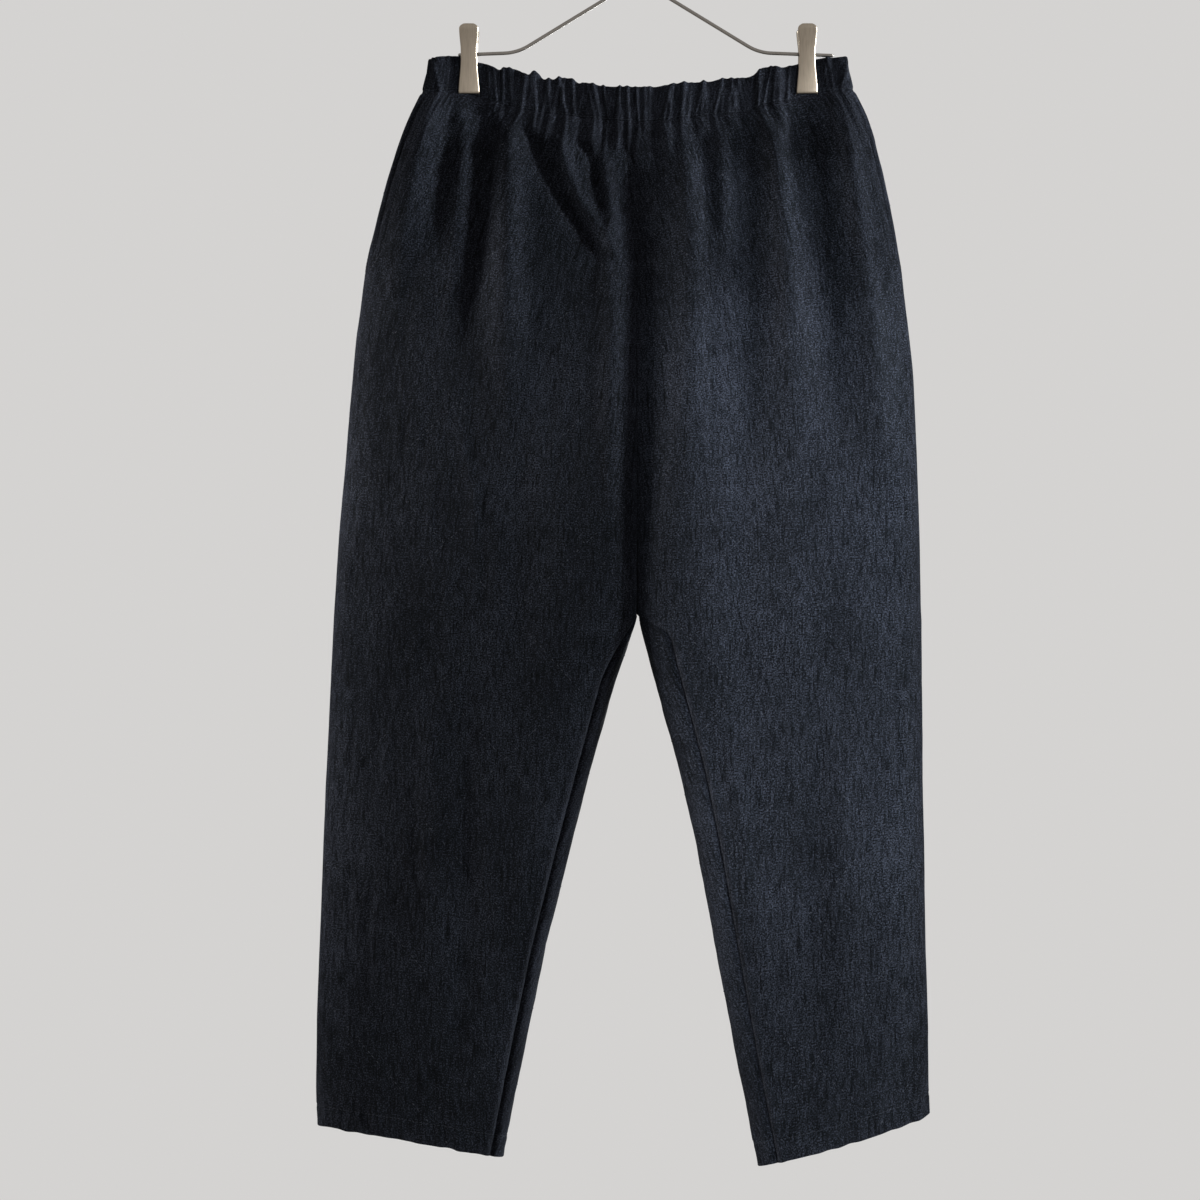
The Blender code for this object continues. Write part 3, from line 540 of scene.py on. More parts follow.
def makeThreadMaterial(name, colour):
    # spun thread: fine oblique twist from a noise stretched along the object's height
    shading = Shading(name)
    twist = shading.noise(shading.place(), (2600, 2600, 1500), detail=2.0)
    shading.fill(shading.shader, {
        "Base Color": shading.ramp(twist, threeTones(colour, 0.65, 1.35)), "Roughness": 0.75,
        "Specular IOR Level": 0.15, "Normal": shading.bump(twist, 0.00008),
    })
    return shading.material


def makeSteelMaterial(name, colour, roughness, streak):
    # satin steel: brushed streaks by stretched noise, faint smudges in the roughness
    shading = Shading(name)
    place = shading.place()
    brushed = shading.noise(place, streak)
    smudge = shading.noise(place, (90, 90, 90), detail=4.0)
    inputs = {"Value": smudge, "To Min": roughness - 0.07, "To Max": roughness + 0.09}
    shading.fill(shading.shader, {
        "Base Color": shading.ramp(brushed, threeTones(colour, 0.86, 1.08)), "Metallic": 1.0,
        "Roughness": shading.add("ShaderNodeMapRange", inputs).outputs["Result"],
        "Normal": shading.bump(brushed, 0.00002),
    })
    return shading.material


sashikoCloth = makeClothMaterial("sashikoCloth", clothLook)
pocketLook = dict(clothLook, crinkle=(300.0, 300.0), slub=(900.0, 900.0),
                  crinkleBump=0.0001, slubBump=0.00008)
pocketCloth = makeClothMaterial("pocketCloth", pocketLook)
seamThread = makeThreadMaterial("seamThread", (0.0085, 0.0098, 0.0138))
sashikoThread = makeThreadMaterial("sashikoThread", (0.0190, 0.0210, 0.0270))
clipSteel = makeSteelMaterial("clipSteel", (0.310, 0.262, 0.207), 0.36, (1200, 300, 60))
wireSteel = makeSteelMaterial("wireSteel", (0.235, 0.215, 0.195), 0.30, (900, 900, 900))
print("materials made")


panelLook = {
    "edgeSteps": np.array((0, 0.4, 0.9, 1.6, 2.6, 4.0)) * mm,
    "middle": {"front": 120, "back": 130},
    "wall": 0.0009,
    "seamDip": 0.0010, "seamDipReach": 0.0015, "crotchCalm": 0.007, "crotchCalmReach": 0.009,
    "inseamDip": 0.0021, "inseamReach": 0.0027, "inseamStart": 0.004, "inseamFade": 0.014,
    "inseamLip": 0.0008, "inseamLipIn": 0.0058, "inseamLipReach": 0.0026,
    "crinkles": ((4.4, 22, 0.36), (9.0, 46, 0.40), (2.7, 9, 0.17)), "crinkleWander": 0.004,
    "pocketGroove": 0.00045, "pocketGrooveReach": 0.0009, "pocketStitchIn": 0.0068,
    "hemRadius": 0.00098, "hemPucker": 0.00050, "hemWave": 0.0009,
    "hemGroove": 0.00050, "hemGrooveReach": 0.0011, "sagLength": 0.02,
    "tuck": ((-0.0045, 0.0018), (-0.0012, 0.0015), (0.0003, 0.0009), (0.0010, 0.0004), (0.0018, 0.0001)),
}

gatherLook = {
    "fine": {"spacing": 0.0054, "height": 0.00180, "spread": 0.0018, "shortest": 0.016, "longest": 0.070},
    "broad": {"spacing": 0.0180, "height": 0.00200, "spread": 0.0054, "shortest": 0.050, "longest": 0.130},
    "reach": 0.178, "halfWaist": 0.176, "endDrop": 0.165, "fanning": 7.0, "seeds": {"front": 5, "back": 12},
}


def gatherList(face):
    # places along the waist at uneven steps, each with its own height, width, length and lean
    rng = np.random.default_rng(gatherLook["seeds"][face])
    lists = []
    for kind in ("fine", "broad"):
        values = gatherLook[kind]
        places = np.cumsum(values["spacing"] * rng.uniform(0.55, 1.45, 64)) - gatherLook["reach"]
        places = places[places < gatherLook["reach"]]
        count = len(places)
        lists.append(np.column_stack((
            places, values["height"] * rng.uniform(0.45, 1.45, count),
            values["spread"] * rng.uniform(0.75, 1.25, count),
            rng.uniform(values["shortest"], values["longest"], count),
            rng.uniform(-0.10, 0.10, count), rng.uniform(-0.24, 0.24, count),
        )))
    return np.concatenate(lists).T


gathers = {face: gatherList(face) for face in ("front", "back")}


def gatherRidges(x, drop, face, fan):
    # bells round places that fan out as the cloth widens, each fading down its own length; the sum
    # is taken from its own mean height, so that the cloth stays where the solid is
    places, heights, spreads, lengths, leans, bandLeans = gathers[face]
    below = max(0.0, drop - cut["bandDepth"])
    fade = 1 - ease(below / lengths)
    lean = bandLeans if drop < cut["bandDepth"] else leans
    middles = places * fan + lean * (drop - cut["bandDepth"])
    bells = bell(x[:, None] - middles, spreads * (1 + gatherLook["fanning"] * below))
    level = (heights * spreads * fade).sum() * math.sqrt(math.pi) / (2 * gatherLook["halfWaist"])
    return (bells * heights * fade).sum(axis=1) - level


def panelPlaces(section, face):
    # places round the section from a panel's first edge to its last, closer at both edges
    if face == "front":
        start = section.reach("front", stripWidth(section.drop))
        end = section.lengths["front"][-1]
        if section.inLeg:
            end = section.reach("front", section.width - inseamWidth(section.drop, section.side))
    else:
        start = -section.reach("front", stripWidth(section.drop))
        end = section.lengths["back"][-1]
        if section.inLeg:
            seam = section.reach("front", section.width - inseamWidth(section.drop, section.side))
            end += section.lengths["front"][-1] - seam
    steps = panelLook["edgeSteps"]
    middle = np.linspace(start + steps[-1], end - steps[-1], panelLook["middle"][face] + 1)
    places = np.concatenate((start + steps[:-1], middle, end - steps[-2::-1]))
    return -places if face == "front" else places


def panelRows(side):
    # a panel's rows, each with its drop, how far it lies inside and below, and its place down the flat
    # cloth: tucked under the band, down the leg, round the hem and up inside
    hem, crotch, top = cut["hemDrop"][side], cut["crotchDrop"], cut["bandDepth"]
    radius = panelLook["hemRadius"]
    rows = [(top + drop, inset, 0.0, top + drop) for drop, inset in panelLook["tuck"]]
    main = np.concatenate((
        np.arange(top + 0.0030, 0.062, 0.0015), np.arange(0.062, crotch - 0.001, 0.0031), (crotch,),
        np.arange(crotch + 0.0012, hem - 0.024, 0.0031), np.arange(hem - 0.024, hem - 0.0012, 0.0016),
        (hem - radius,),
    ))
    rows += [(drop, 0.0, 0.0, drop) for drop in main]
    for angle in np.radians((35, 70, 110, 145)):
        flat = hem if angle > np.pi / 2 else hem - radius
        rows.append((hem - radius, radius * (1 - math.cos(angle)), radius * math.sin(angle), flat))
    for share in np.linspace(0, 1, 6):
        drop = hem - radius - cut["hemTurning"] * share
        rows.append((drop, 2 * radius, 0.0, 2 * hem - drop))
    return rows


def panelGrid(side, face):
    # each row follows the cross-section at its drop; folds push it along Y, and gathers, crinkles,
    # seam dips and the hem's stitched groove push it along its outward normal
    look = panelLook
    hem, crotch = cut["hemDrop"][side], cut["crotchDrop"]
    topWidth = reading(outline, sideNames[side], cut["bandDepth"])
    seed = {"front": 21, "back": 41}[face] + side
    rowPoints, rowUv, rowPlaces = [], [], []
    rows = panelRows(side)
    for drop, inset, below, flatDrop in rows:
        section = CrossSection(side, drop)
        places = panelPlaces(section, face)
        x, y, nx, ny = section.sample(places)
        fromOuter = section.outer - side * x
        fromStart, fromEnd = abs(places - places[0]), abs(places[-1] - places)
        fromEdges = np.minimum(fromStart, fromEnd)
        y = y + np.where(y < 0, -1.0, 1.0) * section.moved(x, y, face)
        lower = ease((drop - hem + 0.03) / 0.03) * ease(fromEdges / 0.010)
        z = heightOf(x, drop, fromOuter / section.width, side) - below
        z = z + look["hemWave"] * lower * latticeNoise(places, 0.0, 0.0085, 1.0, seed + 5)
        # gathers, calm at the side fold and under the clips
        ridge = 0.0
        if drop < gatherLook["endDrop"]:
            clipped = pinch(x) ** 3 * (1 - ease((drop - 0.030) / 0.03))
            ridge = gatherRidges(x, drop, face, section.outer / topWidth)
            ridge = ridge * (ease((fromOuter - 0.001) / 0.006) * (1 - clipped))
        # crinkles, weaker close to a seam, where the cloth is held
        wander = look["crinkleWander"] * latticeNoise(places, drop, 0.03, 0.05, seed + 7)
        lift = np.zeros_like(x)
        for layer, (cellU, cellV, height) in enumerate(look["crinkles"]):
            noises = latticeNoise(places + wander, drop, cellU * mm, cellV * mm, seed * 9 + layer)
            lift += height * mm * noises
        lift *= (0.35 + 0.65 * ease(fromEdges / 0.008)) * ease((drop - 0.024) / 0.02)
        # seams dip; a pocket's mouth has a free edge instead
        free = pocketBell(drop) if drop < cut["pocketEnd"] else 0.0
        dip = look["seamDip"] * ease((drop - 0.026) / 0.010)
        if side > 0:
            dip *= 1 - bell(drop - crotch - look["crotchCalm"], look["crotchCalmReach"])
        reach = look["seamDipReach"]
        lift -= dip * (bell(fromEnd, reach) + 0.35 * (1 - free) * bell(fromStart, reach))
        inseam = ease((drop - crotch - look["inseamStart"]) / look["inseamFade"])
        lift -= look["inseamDip"] * inseam * bell(fromEnd, look["inseamReach"])
        if face == "front":
            lift += look["inseamLip"] * inseam * bell(fromEnd - look["inseamLipIn"], look["inseamLipReach"])
            fromStitch = fromStart - look["pocketStitchIn"]
            lift -= look["pocketGroove"] * free * bell(fromStitch, look["pocketGrooveReach"])
        # the hem's stitched groove and its puckers
        above = hem - cut["hemTurning"] - drop
        if inset == 0.0 and above < 0.02:
            pucker = latticeNoise(places, drop, 0.0042, 0.011, seed + 3)
            lift -= look["hemGroove"] * bell(above, look["hemGrooveReach"])
            lift += look["hemPucker"] * pucker * bell(above + 0.004, 0.010)
        out = ridge + lift - inset
        # on the trunk a panel's inner edge keeps its place across, so that the centre seams stay shut
        across = 1.0 if section.inLeg else ease(fromEnd / 0.005)
        rowPoints.append(np.column_stack((x + nx * out * across, y + ny * out, z)))
        rowUv.append(np.column_stack((places, np.full_like(x, -flatDrop))))
        rowPlaces.append(places)
    return {
        "points": np.array(rowPoints), "uv": np.array(rowUv), "places": np.array(rowPlaces),
        "drops": np.array([row[0] for row in rows]),
        "main": [number for number, row in enumerate(rows) if row[1] == 0.0],
    }


def panelWidths(grid):
    # each row's width round the section, from its first place to its last
    return np.abs(grid["places"][:, -1] - grid["places"][:, 0])


def makeCloth(name, grid, facing, flatPart):
    # the piece, with its normals and faces turned so that its flat part faces the front or the back
    points = grid["points"]
    normals = np.cross(np.gradient(points, axis=1), np.gradient(points, axis=0))
    outward = 1 if (normals[flatPart][..., 1] * facing).mean() > 0 else -1
    grid["normals"] = unit(normals) * outward
    faces = gridFaces(*points.shape[:2])[:, ::outward]
    grid["piece"] = makeMesh(name + "_cloth", points, faces, sashikoCloth, (name,),
                             grid["uv"], panelLook["wall"])


def stateSheet(name, grid, width, length, digits):
    # the flat width and length, and the area of the hung surface, as the cut of what shows
    area = round(gridArea(grid["points"]), digits)
    grid["sheet"] = (round(float(width), 3), round(float(length), 3), area)
    print(name, "width, length, area", grid["sheet"])


def makePanel(side, face):
    # one leg panel; its flat length adds the tuck, the hem's turning and slope, and the sag
    grid = panelGrid(side, face)
    name = face + "_" + sideNames[side]
    makeCloth(name, grid, facings[face], np.s_[20:-20, 20:-20])
    tucked = -panelLook["tuck"][0][0]
    length = grid["drops"].max() - cut["bandDepth"] + tucked + cut["hemTurning"] + cut["hemSlope"][side]
    stateSheet(name, grid, panelWidths(grid).max(), length + panelLook["sagLength"], 3)
    return grid


panels = {(side, face): makePanel(side, face) for face in ("front", "back") for side in (1, -1)}
print("panels made")


bandLook = {
    "columns": 430, "outerRows": 16, "foldRows": 6, "innerRows": 9,
    "foldRadius": 0.0015, "footDrop": 0.0004, "innerShort": 0.002,
    "puff": 0.0006, "stitchDip": 0.0005, "stitchUp": 0.0012, "stitchReach": 0.0011,
    "seamDip": 0.0008, "seamReach": 0.0014, "edgeTurn": 0.0008, "edgeReach": 0.0016,
    "crinkle": 0.00022, "wobble": 0.35, "scallop": 0.0005, "wave": 0.0008, "topSettle": 0.0006,
    # places along the front's top edge in millimetres, with their half widths and heights
    "bumps": ((-126, 5, 0.8), (-104, 9, 4.4), (-84.5, 4.4, 3.8), (-60, 9, 3.0), (34, 6, 1.0), (72, 8, 1.2),
              (106, 8, 1.8)),
}


def bandRows():
    # level below the top edge, inset and share of the height: up outside, over the fold, down inside
    radius, depth = bandLook["foldRadius"], cut["bandDepth"]
    shares = np.linspace(0, 1, bandLook["outerRows"])[:-1]
    rows = [(bandLook["footDrop"] + depth * (1 - share), 0.0, share) for share in shares]
    for angle in np.linspace(0, np.pi, bandLook["foldRows"] + 1):
        rows.append((radius * (1 - math.sin(angle)), radius * (1 - math.cos(angle)), 1.0))
    for share in np.linspace(1, 0, bandLook["innerRows"])[1:]:
        rows.append((radius + (depth - radius - bandLook["innerShort"]) * (1 - share), 2 * radius, share))
    return rows


def bandLine(level, facing):
    # one half of the waist at a level: an even depth, pinched under the clips, with a quarter circle at
    # each end; gives points, outward normals and lengths at even steps
    end = cut["bandHalfDepth"]
    left, right = reading(outline, "left", level), reading(outline, "right", level)
    turn = np.linspace(0, np.pi / 2, 60)
    middle = np.linspace(-right + end, left - end, 700)[1:-1]
    dense = np.concatenate((-right + end * (1 - np.cos(turn)), middle, left - end + end * np.sin(turn)))
    fromSide = np.clip(np.minimum(left - dense, dense + right), 0, end)
    roundOff = np.sqrt(end ** 2 - (end - fromSide) ** 2) / end
    halfDepth = (end - (end - cut["pinchedDepth"]) * pinch(dense)) * roundOff
    line = np.column_stack((dense, facing * halfDepth))
    lengths = np.concatenate(([0.0], np.cumsum(np.hypot(*np.diff(line, axis=0).T))))
    wanted = np.linspace(0, lengths[-1], bandLook["columns"] + 1)
    return *placesAlong(line, lengths, wanted, -facing), wanted


def bandGrid(face):
    # the casing's profile carried along the waist. Gathers push its two sides outwards, and the top fold
    # rises and falls with them
    look = bandLook
    facing = facings[face]
    seed = 71 if face == "front" else 83
    rows = bandRows()
    rowPoints, rowUv = [], []
    along = 0.0
    for level, inset, share in rows:
        x, y, nx, ny, wanted = bandLine(level, facing)
        fromEnds = np.minimum(wanted, wanted[-1] - wanted)
        fromFoot = cut["bandDepth"] - level
        free = (1 - pinch(x) ** 3) * ease((fromEnds - 0.001) / 0.006)
        squeezed = 1 - 0.85 * pinch(x)
        wobble = 1 + look["wobble"] * latticeNoise(x, level, 0.009, 0.012, seed)
        ridge = gatherRidges(x, level, face, 1.0) * free * wobble
        puff = look["puff"] * math.sin(math.pi * share ** 0.8) * squeezed
        seam = look["seamDip"] * bell(fromEnds, look["seamReach"])
        if inset <= look["foldRadius"]:
            stitch = look["stitchDip"] * bell(fromFoot - look["stitchUp"], look["stitchReach"]) * squeezed
            crinkle = look["crinkle"] * latticeNoise(x, level, 0.0034, 0.009, seed + 1) * free
            turned = look["edgeTurn"] * bell(fromFoot, look["edgeReach"])
            out = ridge + puff - stitch + crinkle - seam - inset - turned
        else:
            out = ridge * 0.55 - puff - seam - inset
        scallop = look["scallop"] * (ridge / gatherLook["fine"]["height"]) * share ** 2
        scallop += look["wave"] * latticeNoise(x, 0.0, 0.019, 1.0, seed + 2) * share ** 2 * free
        if face == "front":
            for middle, width, height in look["bumps"]:
                scallop += height * mm * np.exp(-((x / mm - middle) / width) ** 4) * share ** 2
        z = cut["waistZ"] - waistSag(x) - level + scallop - look["topSettle"] * share
        rowPoints.append(np.column_stack((x + nx * out, y + ny * out, z)))
        if len(rowPoints) > 1:
            along += float(np.linalg.norm(rowPoints[-1] - rowPoints[-2], axis=1).mean())
        rowUv.append(np.column_stack((wanted, np.full_like(x, along))))
    levels = np.array([row[0] for row in rows])
    return {"points": np.array(rowPoints), "uv": np.array(rowUv), "levels": levels}


def makeBand(face):
    # half of the casing; its flat size is its longest row by its deepest column
    grid = bandGrid(face)
    name = "waistband_" + face
    makeCloth(name, grid, facings[face], np.s_[2:10, 40:-40])
    stateSheet(name, grid, *(lengthsAlong(grid["points"], way).max() for way in (1, 0)), 4)
    return grid


bands = {face: makeBand(face) for face in ("front", "back")}
print("waistband made")


bagLook = {
    "wall": 0.0007, "panelRoom": 0.0032, "mouthInset": 0.0019, "reach": 0.064, "cavity": 0.0100,
    "top": 0.052, "foot": 0.232, "mouthEnd": 0.165, "mouthEase": 0.012, "rows": 46, "wallColumns": 14,
    "sideRoom": 0.0095, "footStart": 0.205, "footIn": 0.012, "footOut": 0.014, "shoulderRun": 0.070,
    "shoulderIn": 0.66, "closeRun": 0.020, "shut": 0.0004, "seam": 0.004, "ripple": 0.0003,
}


def makeBag(side):
    # a flat pouch: its front wall runs in from the mouth, turns in a half circle and comes back as its
    # back wall, and the two meet at the top and the foot
    look = bagLook
    rowPoints, rowUv = [], []
    for drop in np.linspace(look["top"], look["foot"], look["rows"]):
        section = CrossSection(side, drop)
        mouth = section.outer - stripWidth(drop) - look["mouthInset"]
        closedMouth = section.outer - look["sideRoom"]
        outerEnd = mouth + (closedMouth - mouth) * ease((drop - look["mouthEnd"]) / look["mouthEase"])
        foot = ease((drop - look["footStart"]) / (look["foot"] - look["footStart"]))
        shoulder = 1 - ease((drop - look["top"]) / look["shoulderRun"])
        innerEnd = outerEnd - look["reach"] * (1 - look["shoulderIn"] * shoulder) + look["footIn"] * foot
        outerEnd = outerEnd - look["footOut"] * foot
        fromTop, fromFoot = drop - look["top"], look["foot"] - drop
        closed = ease(fromTop / look["closeRun"]) * ease(fromFoot / look["closeRun"])
        across = np.linspace(outerEnd, innerEnd, look["wallColumns"])
        x = side * across
        rooms = {}
        for face, facing in facings.items():
            depth = np.interp(section.outer - across, section.across, section.depths[face])
            nearby = [section.moved(x + step, facing * depth, face) for step in (-0.006, 0.0, 0.006)]
            rooms[face] = depth + np.minimum.reduce(nearby)
        yFront = -rooms["front"] + look["panelRoom"]
        opened = yFront + look["shut"] + look["cavity"] * closed
        yBack = np.minimum(opened, rooms["back"] - look["panelRoom"])
        gap = yBack[-1] - yFront[-1]
        turn = np.linspace(0, np.pi, 7)[1:-1]
        bendX = side * (innerEnd - gap / 2 * np.sin(turn))
        bendY = yFront[-1] + gap / 2 * (1 - np.cos(turn))
        xs = np.concatenate((x, bendX, x[::-1]))
        ys = np.concatenate((yFront, bendY, yBack[::-1]))
        ys = ys + look["ripple"] * latticeNoise(xs, drop, 0.012, 0.018, 95 + side) * closed
        z = heightOf(xs, drop, (section.outer - np.minimum(abs(xs), section.outer)) / section.width, side)
        rowPoints.append(np.column_stack((xs, ys, z)))
        along = np.concatenate(([0.0], np.cumsum(np.hypot(np.diff(xs), np.diff(ys)))))
        rowUv.append(np.column_stack((along, np.full_like(xs, -drop))))
    points = np.array(rowPoints)
    frontNormal = np.cross(points[20, 5] - points[20, 4], points[21, 4] - points[20, 4])
    faces = gridFaces(*points.shape[:2])[:, ::-1 if frontNormal[1] > 0 else 1]
    name = "pocket_bag_" + sideNames[side]
    bag = {"points": points}
    bag["piece"] = makeMesh(name + "_cloth", points, faces, pocketCloth, (name,),
                            np.array(rowUv), look["wall"])
    stateSheet(name, bag, lengthsAlong(points, 1).max(), look["foot"] - look["top"] + look["seam"], 4)
    return bag


bags = {side: makeBag(side) for side in (1, -1)}
print("pocket bags made")


def onGrid(points, normals, rows, columns):
    # places and normals between a grid's points, by weights from the four round each
    r = np.clip(rows, 0, points.shape[0] - 1.001)
    c = np.clip(columns, 0, points.shape[1] - 1.001)
    i, j = np.floor(r).astype(int), np.floor(c).astype(int)
    fr, fc = (r - i)[..., None], (c - j)[..., None]
    found = []
    for values in (points, normals):
        found.append((values[i, j] * (1 - fc) + values[i, j + 1] * fc) * (1 - fr)
                     + (values[i + 1, j] * (1 - fc) + values[i + 1, j + 1] * fc) * fr)
    return found


def panelWidth(grid, drop):
    # the width of the cloth at a drop, round the section
    rows = np.array(grid["main"])
    return np.interp(drop, grid["drops"][rows], panelWidths(grid)[rows])


def onPanel(grid, fromStart, drop):
    # a place on a panel from its distance in from the first edge and its drop
    rows = np.array(grid["main"])
    row = np.interp(drop, grid["drops"][rows], np.arange(len(rows)))
    width = panelWidth(grid, drop)
    steps = panelLook["edgeSteps"]
    edge = len(steps) - 1
    last = grid["places"].shape[1] - 1
    inner = edge + (fromStart - steps[-1]) / (width - 2 * steps[-1]) * (last - 2 * edge)
    fromEnd = width - fromStart
    column = np.where(fromStart < steps[-1], np.interp(fromStart, steps, np.arange(edge + 1)), inner)
    column = np.where(fromEnd < steps[-1], last - np.interp(fromEnd, steps, np.arange(edge + 1)), column)
    return onGrid(grid["points"][rows], grid["normals"][rows], row, column)


def stitchMesh(name, centres, normals, width, height, material):
    # each stitch is a low arched bead through four places along its thread, thinner at both ends
    beside = unit(np.cross(unit(np.gradient(centres, axis=1)), normals))
    turn = np.radians((-25, 40, 90, 140, 205))
    taper = np.array((0.45, 1.0, 1.0, 0.45))[None, :, None, None]
    sink = np.array((-0.55, 0.0, 0.0, -0.55))[None, :, None, None] * height
    ring = beside[:, :, None] * np.cos(turn)[:, None] * width / 2 * taper
    ring = ring + normals[:, :, None] * (np.sin(turn)[:, None] * height * taper + sink)
    points = centres[:, :, None] + ring
    count = len(centres)
    one = gridFaces(4, 5, closedAcross=True)[:, ::-1]
    quads = (one[None] + 20 * np.arange(count)[:, None, None]).reshape(-1, 4).tolist()
    ends = np.stack((np.arange(5), np.arange(19, 14, -1)))
    caps = (ends[None] + 20 * np.arange(count)[:, None, None]).reshape(-1, 5).tolist()
    return makeMesh(name, points, quads + caps, material)


sewingLook = {
    "machine": (0.0030, 0.0025), "machineWidth": 0.00050, "machineHeight": 0.00026,
    "latticePitch": 0.1154, "handStep": 0.0052, "handLength": 0.0022,
    "handWidth": 0.00055, "handHeight": 0.00032,
    "kept": 0.48, "waver": 0.0004, "foldPlace": 0.240, "handTop": 0.045,
    "clearStart": 0.009, "clearEnd": 0.004,
    "pocketRun": (0.034, 0.176), "inseamIn": 0.0022, "inseamStart": 0.03, "hemClear": 0.004,
    "offsets": {(1, "front"): (0.4830, -0.4400), (-1, "front"): (0.4310, -0.4920),
                (1, "back"): (0.4520, -0.4610), (-1, "back"): (0.4680, -0.4250)},
}


def machineMarks(first, last):
    # four places along each stitch; the stitches follow each other at the machine's step
    step, length = sewingLook["machine"]
    return np.arange(first, last, step)[:, None] + length * np.array((0.02, 0.33, 0.67, 0.98))


def machineStitches(name, centres, normals):
    # even machine stitches in the seams' thread
    size = sewingLook["machineWidth"], sewingLook["machineHeight"]
    return stitchMesh(name, centres, normals, *size, seamThread)


def makeSashiko(key, grid):
    # two families of oblique lines on the flat cloth, X + drop and X - drop, each dashed at even steps
    side, face = key
    rng = np.random.default_rng(300 + 10 * side + len(face))
    pitch, step = sewingLook["latticePitch"], sewingLook["handStep"] / math.sqrt(2)
    hem = cut["hemDrop"][side]
    marks = sewingLook["handLength"] / math.sqrt(2) * np.array((0.0, 0.35, 0.65, 1.0))
    drops = np.arange(sewingLook["handTop"], hem - sewingLook["hemClear"], step)
    fours, places = [], []
    for family, offset in zip((1, -1), sewingLook["offsets"][key]):
        for line in range(-12, 13):
            keep = rng.random(len(drops)) < sewingLook["kept"]
            waver = rng.uniform(-sewingLook["waver"], sewingLook["waver"], keep.sum())
            drop = drops[keep][:, None] + marks + waver[:, None]
            across = offset + pitch * line - family * drop
            fours.append(drop)
            places.append(sewingLook["foldPlace"] - across)
    drop, fromFold = np.concatenate(fours), np.concatenate(places)
    rows = np.array(grid["main"])
    rowDrops = grid["drops"][rows]
    start = np.interp(drop, rowDrops, grid["places"][rows, 0])
    end = np.interp(drop, rowDrops, grid["places"][rows, -1])
    fromStart = fromFold - np.abs(start) if face == "front" else fromFold - start
    width = np.abs(end - start)
    clear = (fromStart > sewingLook["clearStart"]) & (fromStart < width - sewingLook["clearEnd"])
    inside = clear.all(axis=1)
    centres, normals = onPanel(grid, fromStart[inside], drop[inside])
    name = face + sideNames[side].capitalize() + "Sashiko"
    size = sewingLook["handWidth"], sewingLook["handHeight"]
    return stitchMesh(name, centres, normals, *size, sashikoThread)


sewn = {}
for key, grid in panels.items():
    side, face = key
    hem = cut["hemDrop"][side]
    title = face + sideNames[side].capitalize()
    sewn[key] = [makeSashiko(key, grid)]
    if face == "front":
        marks = machineMarks(*sewingLook["pocketRun"])
        spots = onPanel(grid, np.full_like(marks, panelLook["pocketStitchIn"]), marks)
        sewn[key].append(machineStitches(title + "PocketEdge", *spots))
        marks = machineMarks(cut["crotchDrop"] + sewingLook["inseamStart"], hem - sewingLook["hemClear"])
        spots = onPanel(grid, panelWidth(grid, marks) - sewingLook["inseamIn"], marks)
        sewn[key].append(machineStitches(title + "InseamStitch", *spots))
    # round the hem, at the turning's height
    level = hem - cut["hemTurning"]
    marks = machineMarks(0.001, float(panelWidth(grid, level)) - 0.003)
    spots = onPanel(grid, marks, np.full_like(marks, level))
    sewn[key].append(machineStitches(title + "HemStitch", *spots))

for face, grid in bands.items():
    # the casing's stitching, a little above its lower edge
    outer = np.arange(bandLook["outerRows"] - 1)
    row = float(np.interp(bandLook["stitchUp"] - cut["bandDepth"], -grid["levels"][outer], outer))
    lengths = grid["uv"][2, :, 0]
    marks = machineMarks(0.003, lengths[-1] - 0.004)
    columns = np.interp(marks, lengths, np.arange(len(lengths)))
    spots = onGrid(grid["points"], grid["normals"], np.full_like(columns, row), columns)
    sewn[face] = [machineStitches("waistband" + face.capitalize() + "Stitch", *spots)]
print("sewing made")


hangerLook = {
    "wireRadius": 0.0015, "barZ": -0.1456, "barSlope": 0.040, "apexZ": -0.083, "barBendX": 0.100,
    "barEnd": {1: 0.161, -1: -0.1478},
    "bendRadius": 0.011, "sides": 20,
    "hookRadius": 0.0196, "hookWire": 0.0016, "hookJoin": 0.056, "hookTurn": (-50, 205), "hookPull": 0.009,
    "shankEnd": -0.0795, "ferruleTop": -0.064, "ferruleBottom": -0.0925, "ferruleRadius": 0.0052,
    "ferruleRim": 0.0012, "ferruleGroove": 0.0006,
}


def framePath():
    # a path through the frame's corners, each bend an even curve from one side's line to the other's
    h = hangerLook
    spots = (h["barEnd"][-1], -h["barBendX"], 0.0, h["barBendX"], h["barEnd"][1])
    levels = [h["barZ"] + h["barSlope"] * (cut["clipX"] - abs(x)) for x in spots]
    levels[2] = h["apexZ"]
    corners = [np.array((x, 0.0, z)) for x, z in zip(spots, levels)]
    share = np.linspace(0, 1, 15)[:, None]
    path = [corners[0][None]]
    for before, corner, after in zip(corners, corners[1:], corners[2:]):
        start = corner + unit(before - corner) * h["bendRadius"]
        end = corner + unit(after - corner) * h["bendRadius"]
        path.append((1 - share) ** 2 * start + 2 * share * (1 - share) * corner + share ** 2 * end)
    path.append(corners[-1][None])
    return np.concatenate(path)


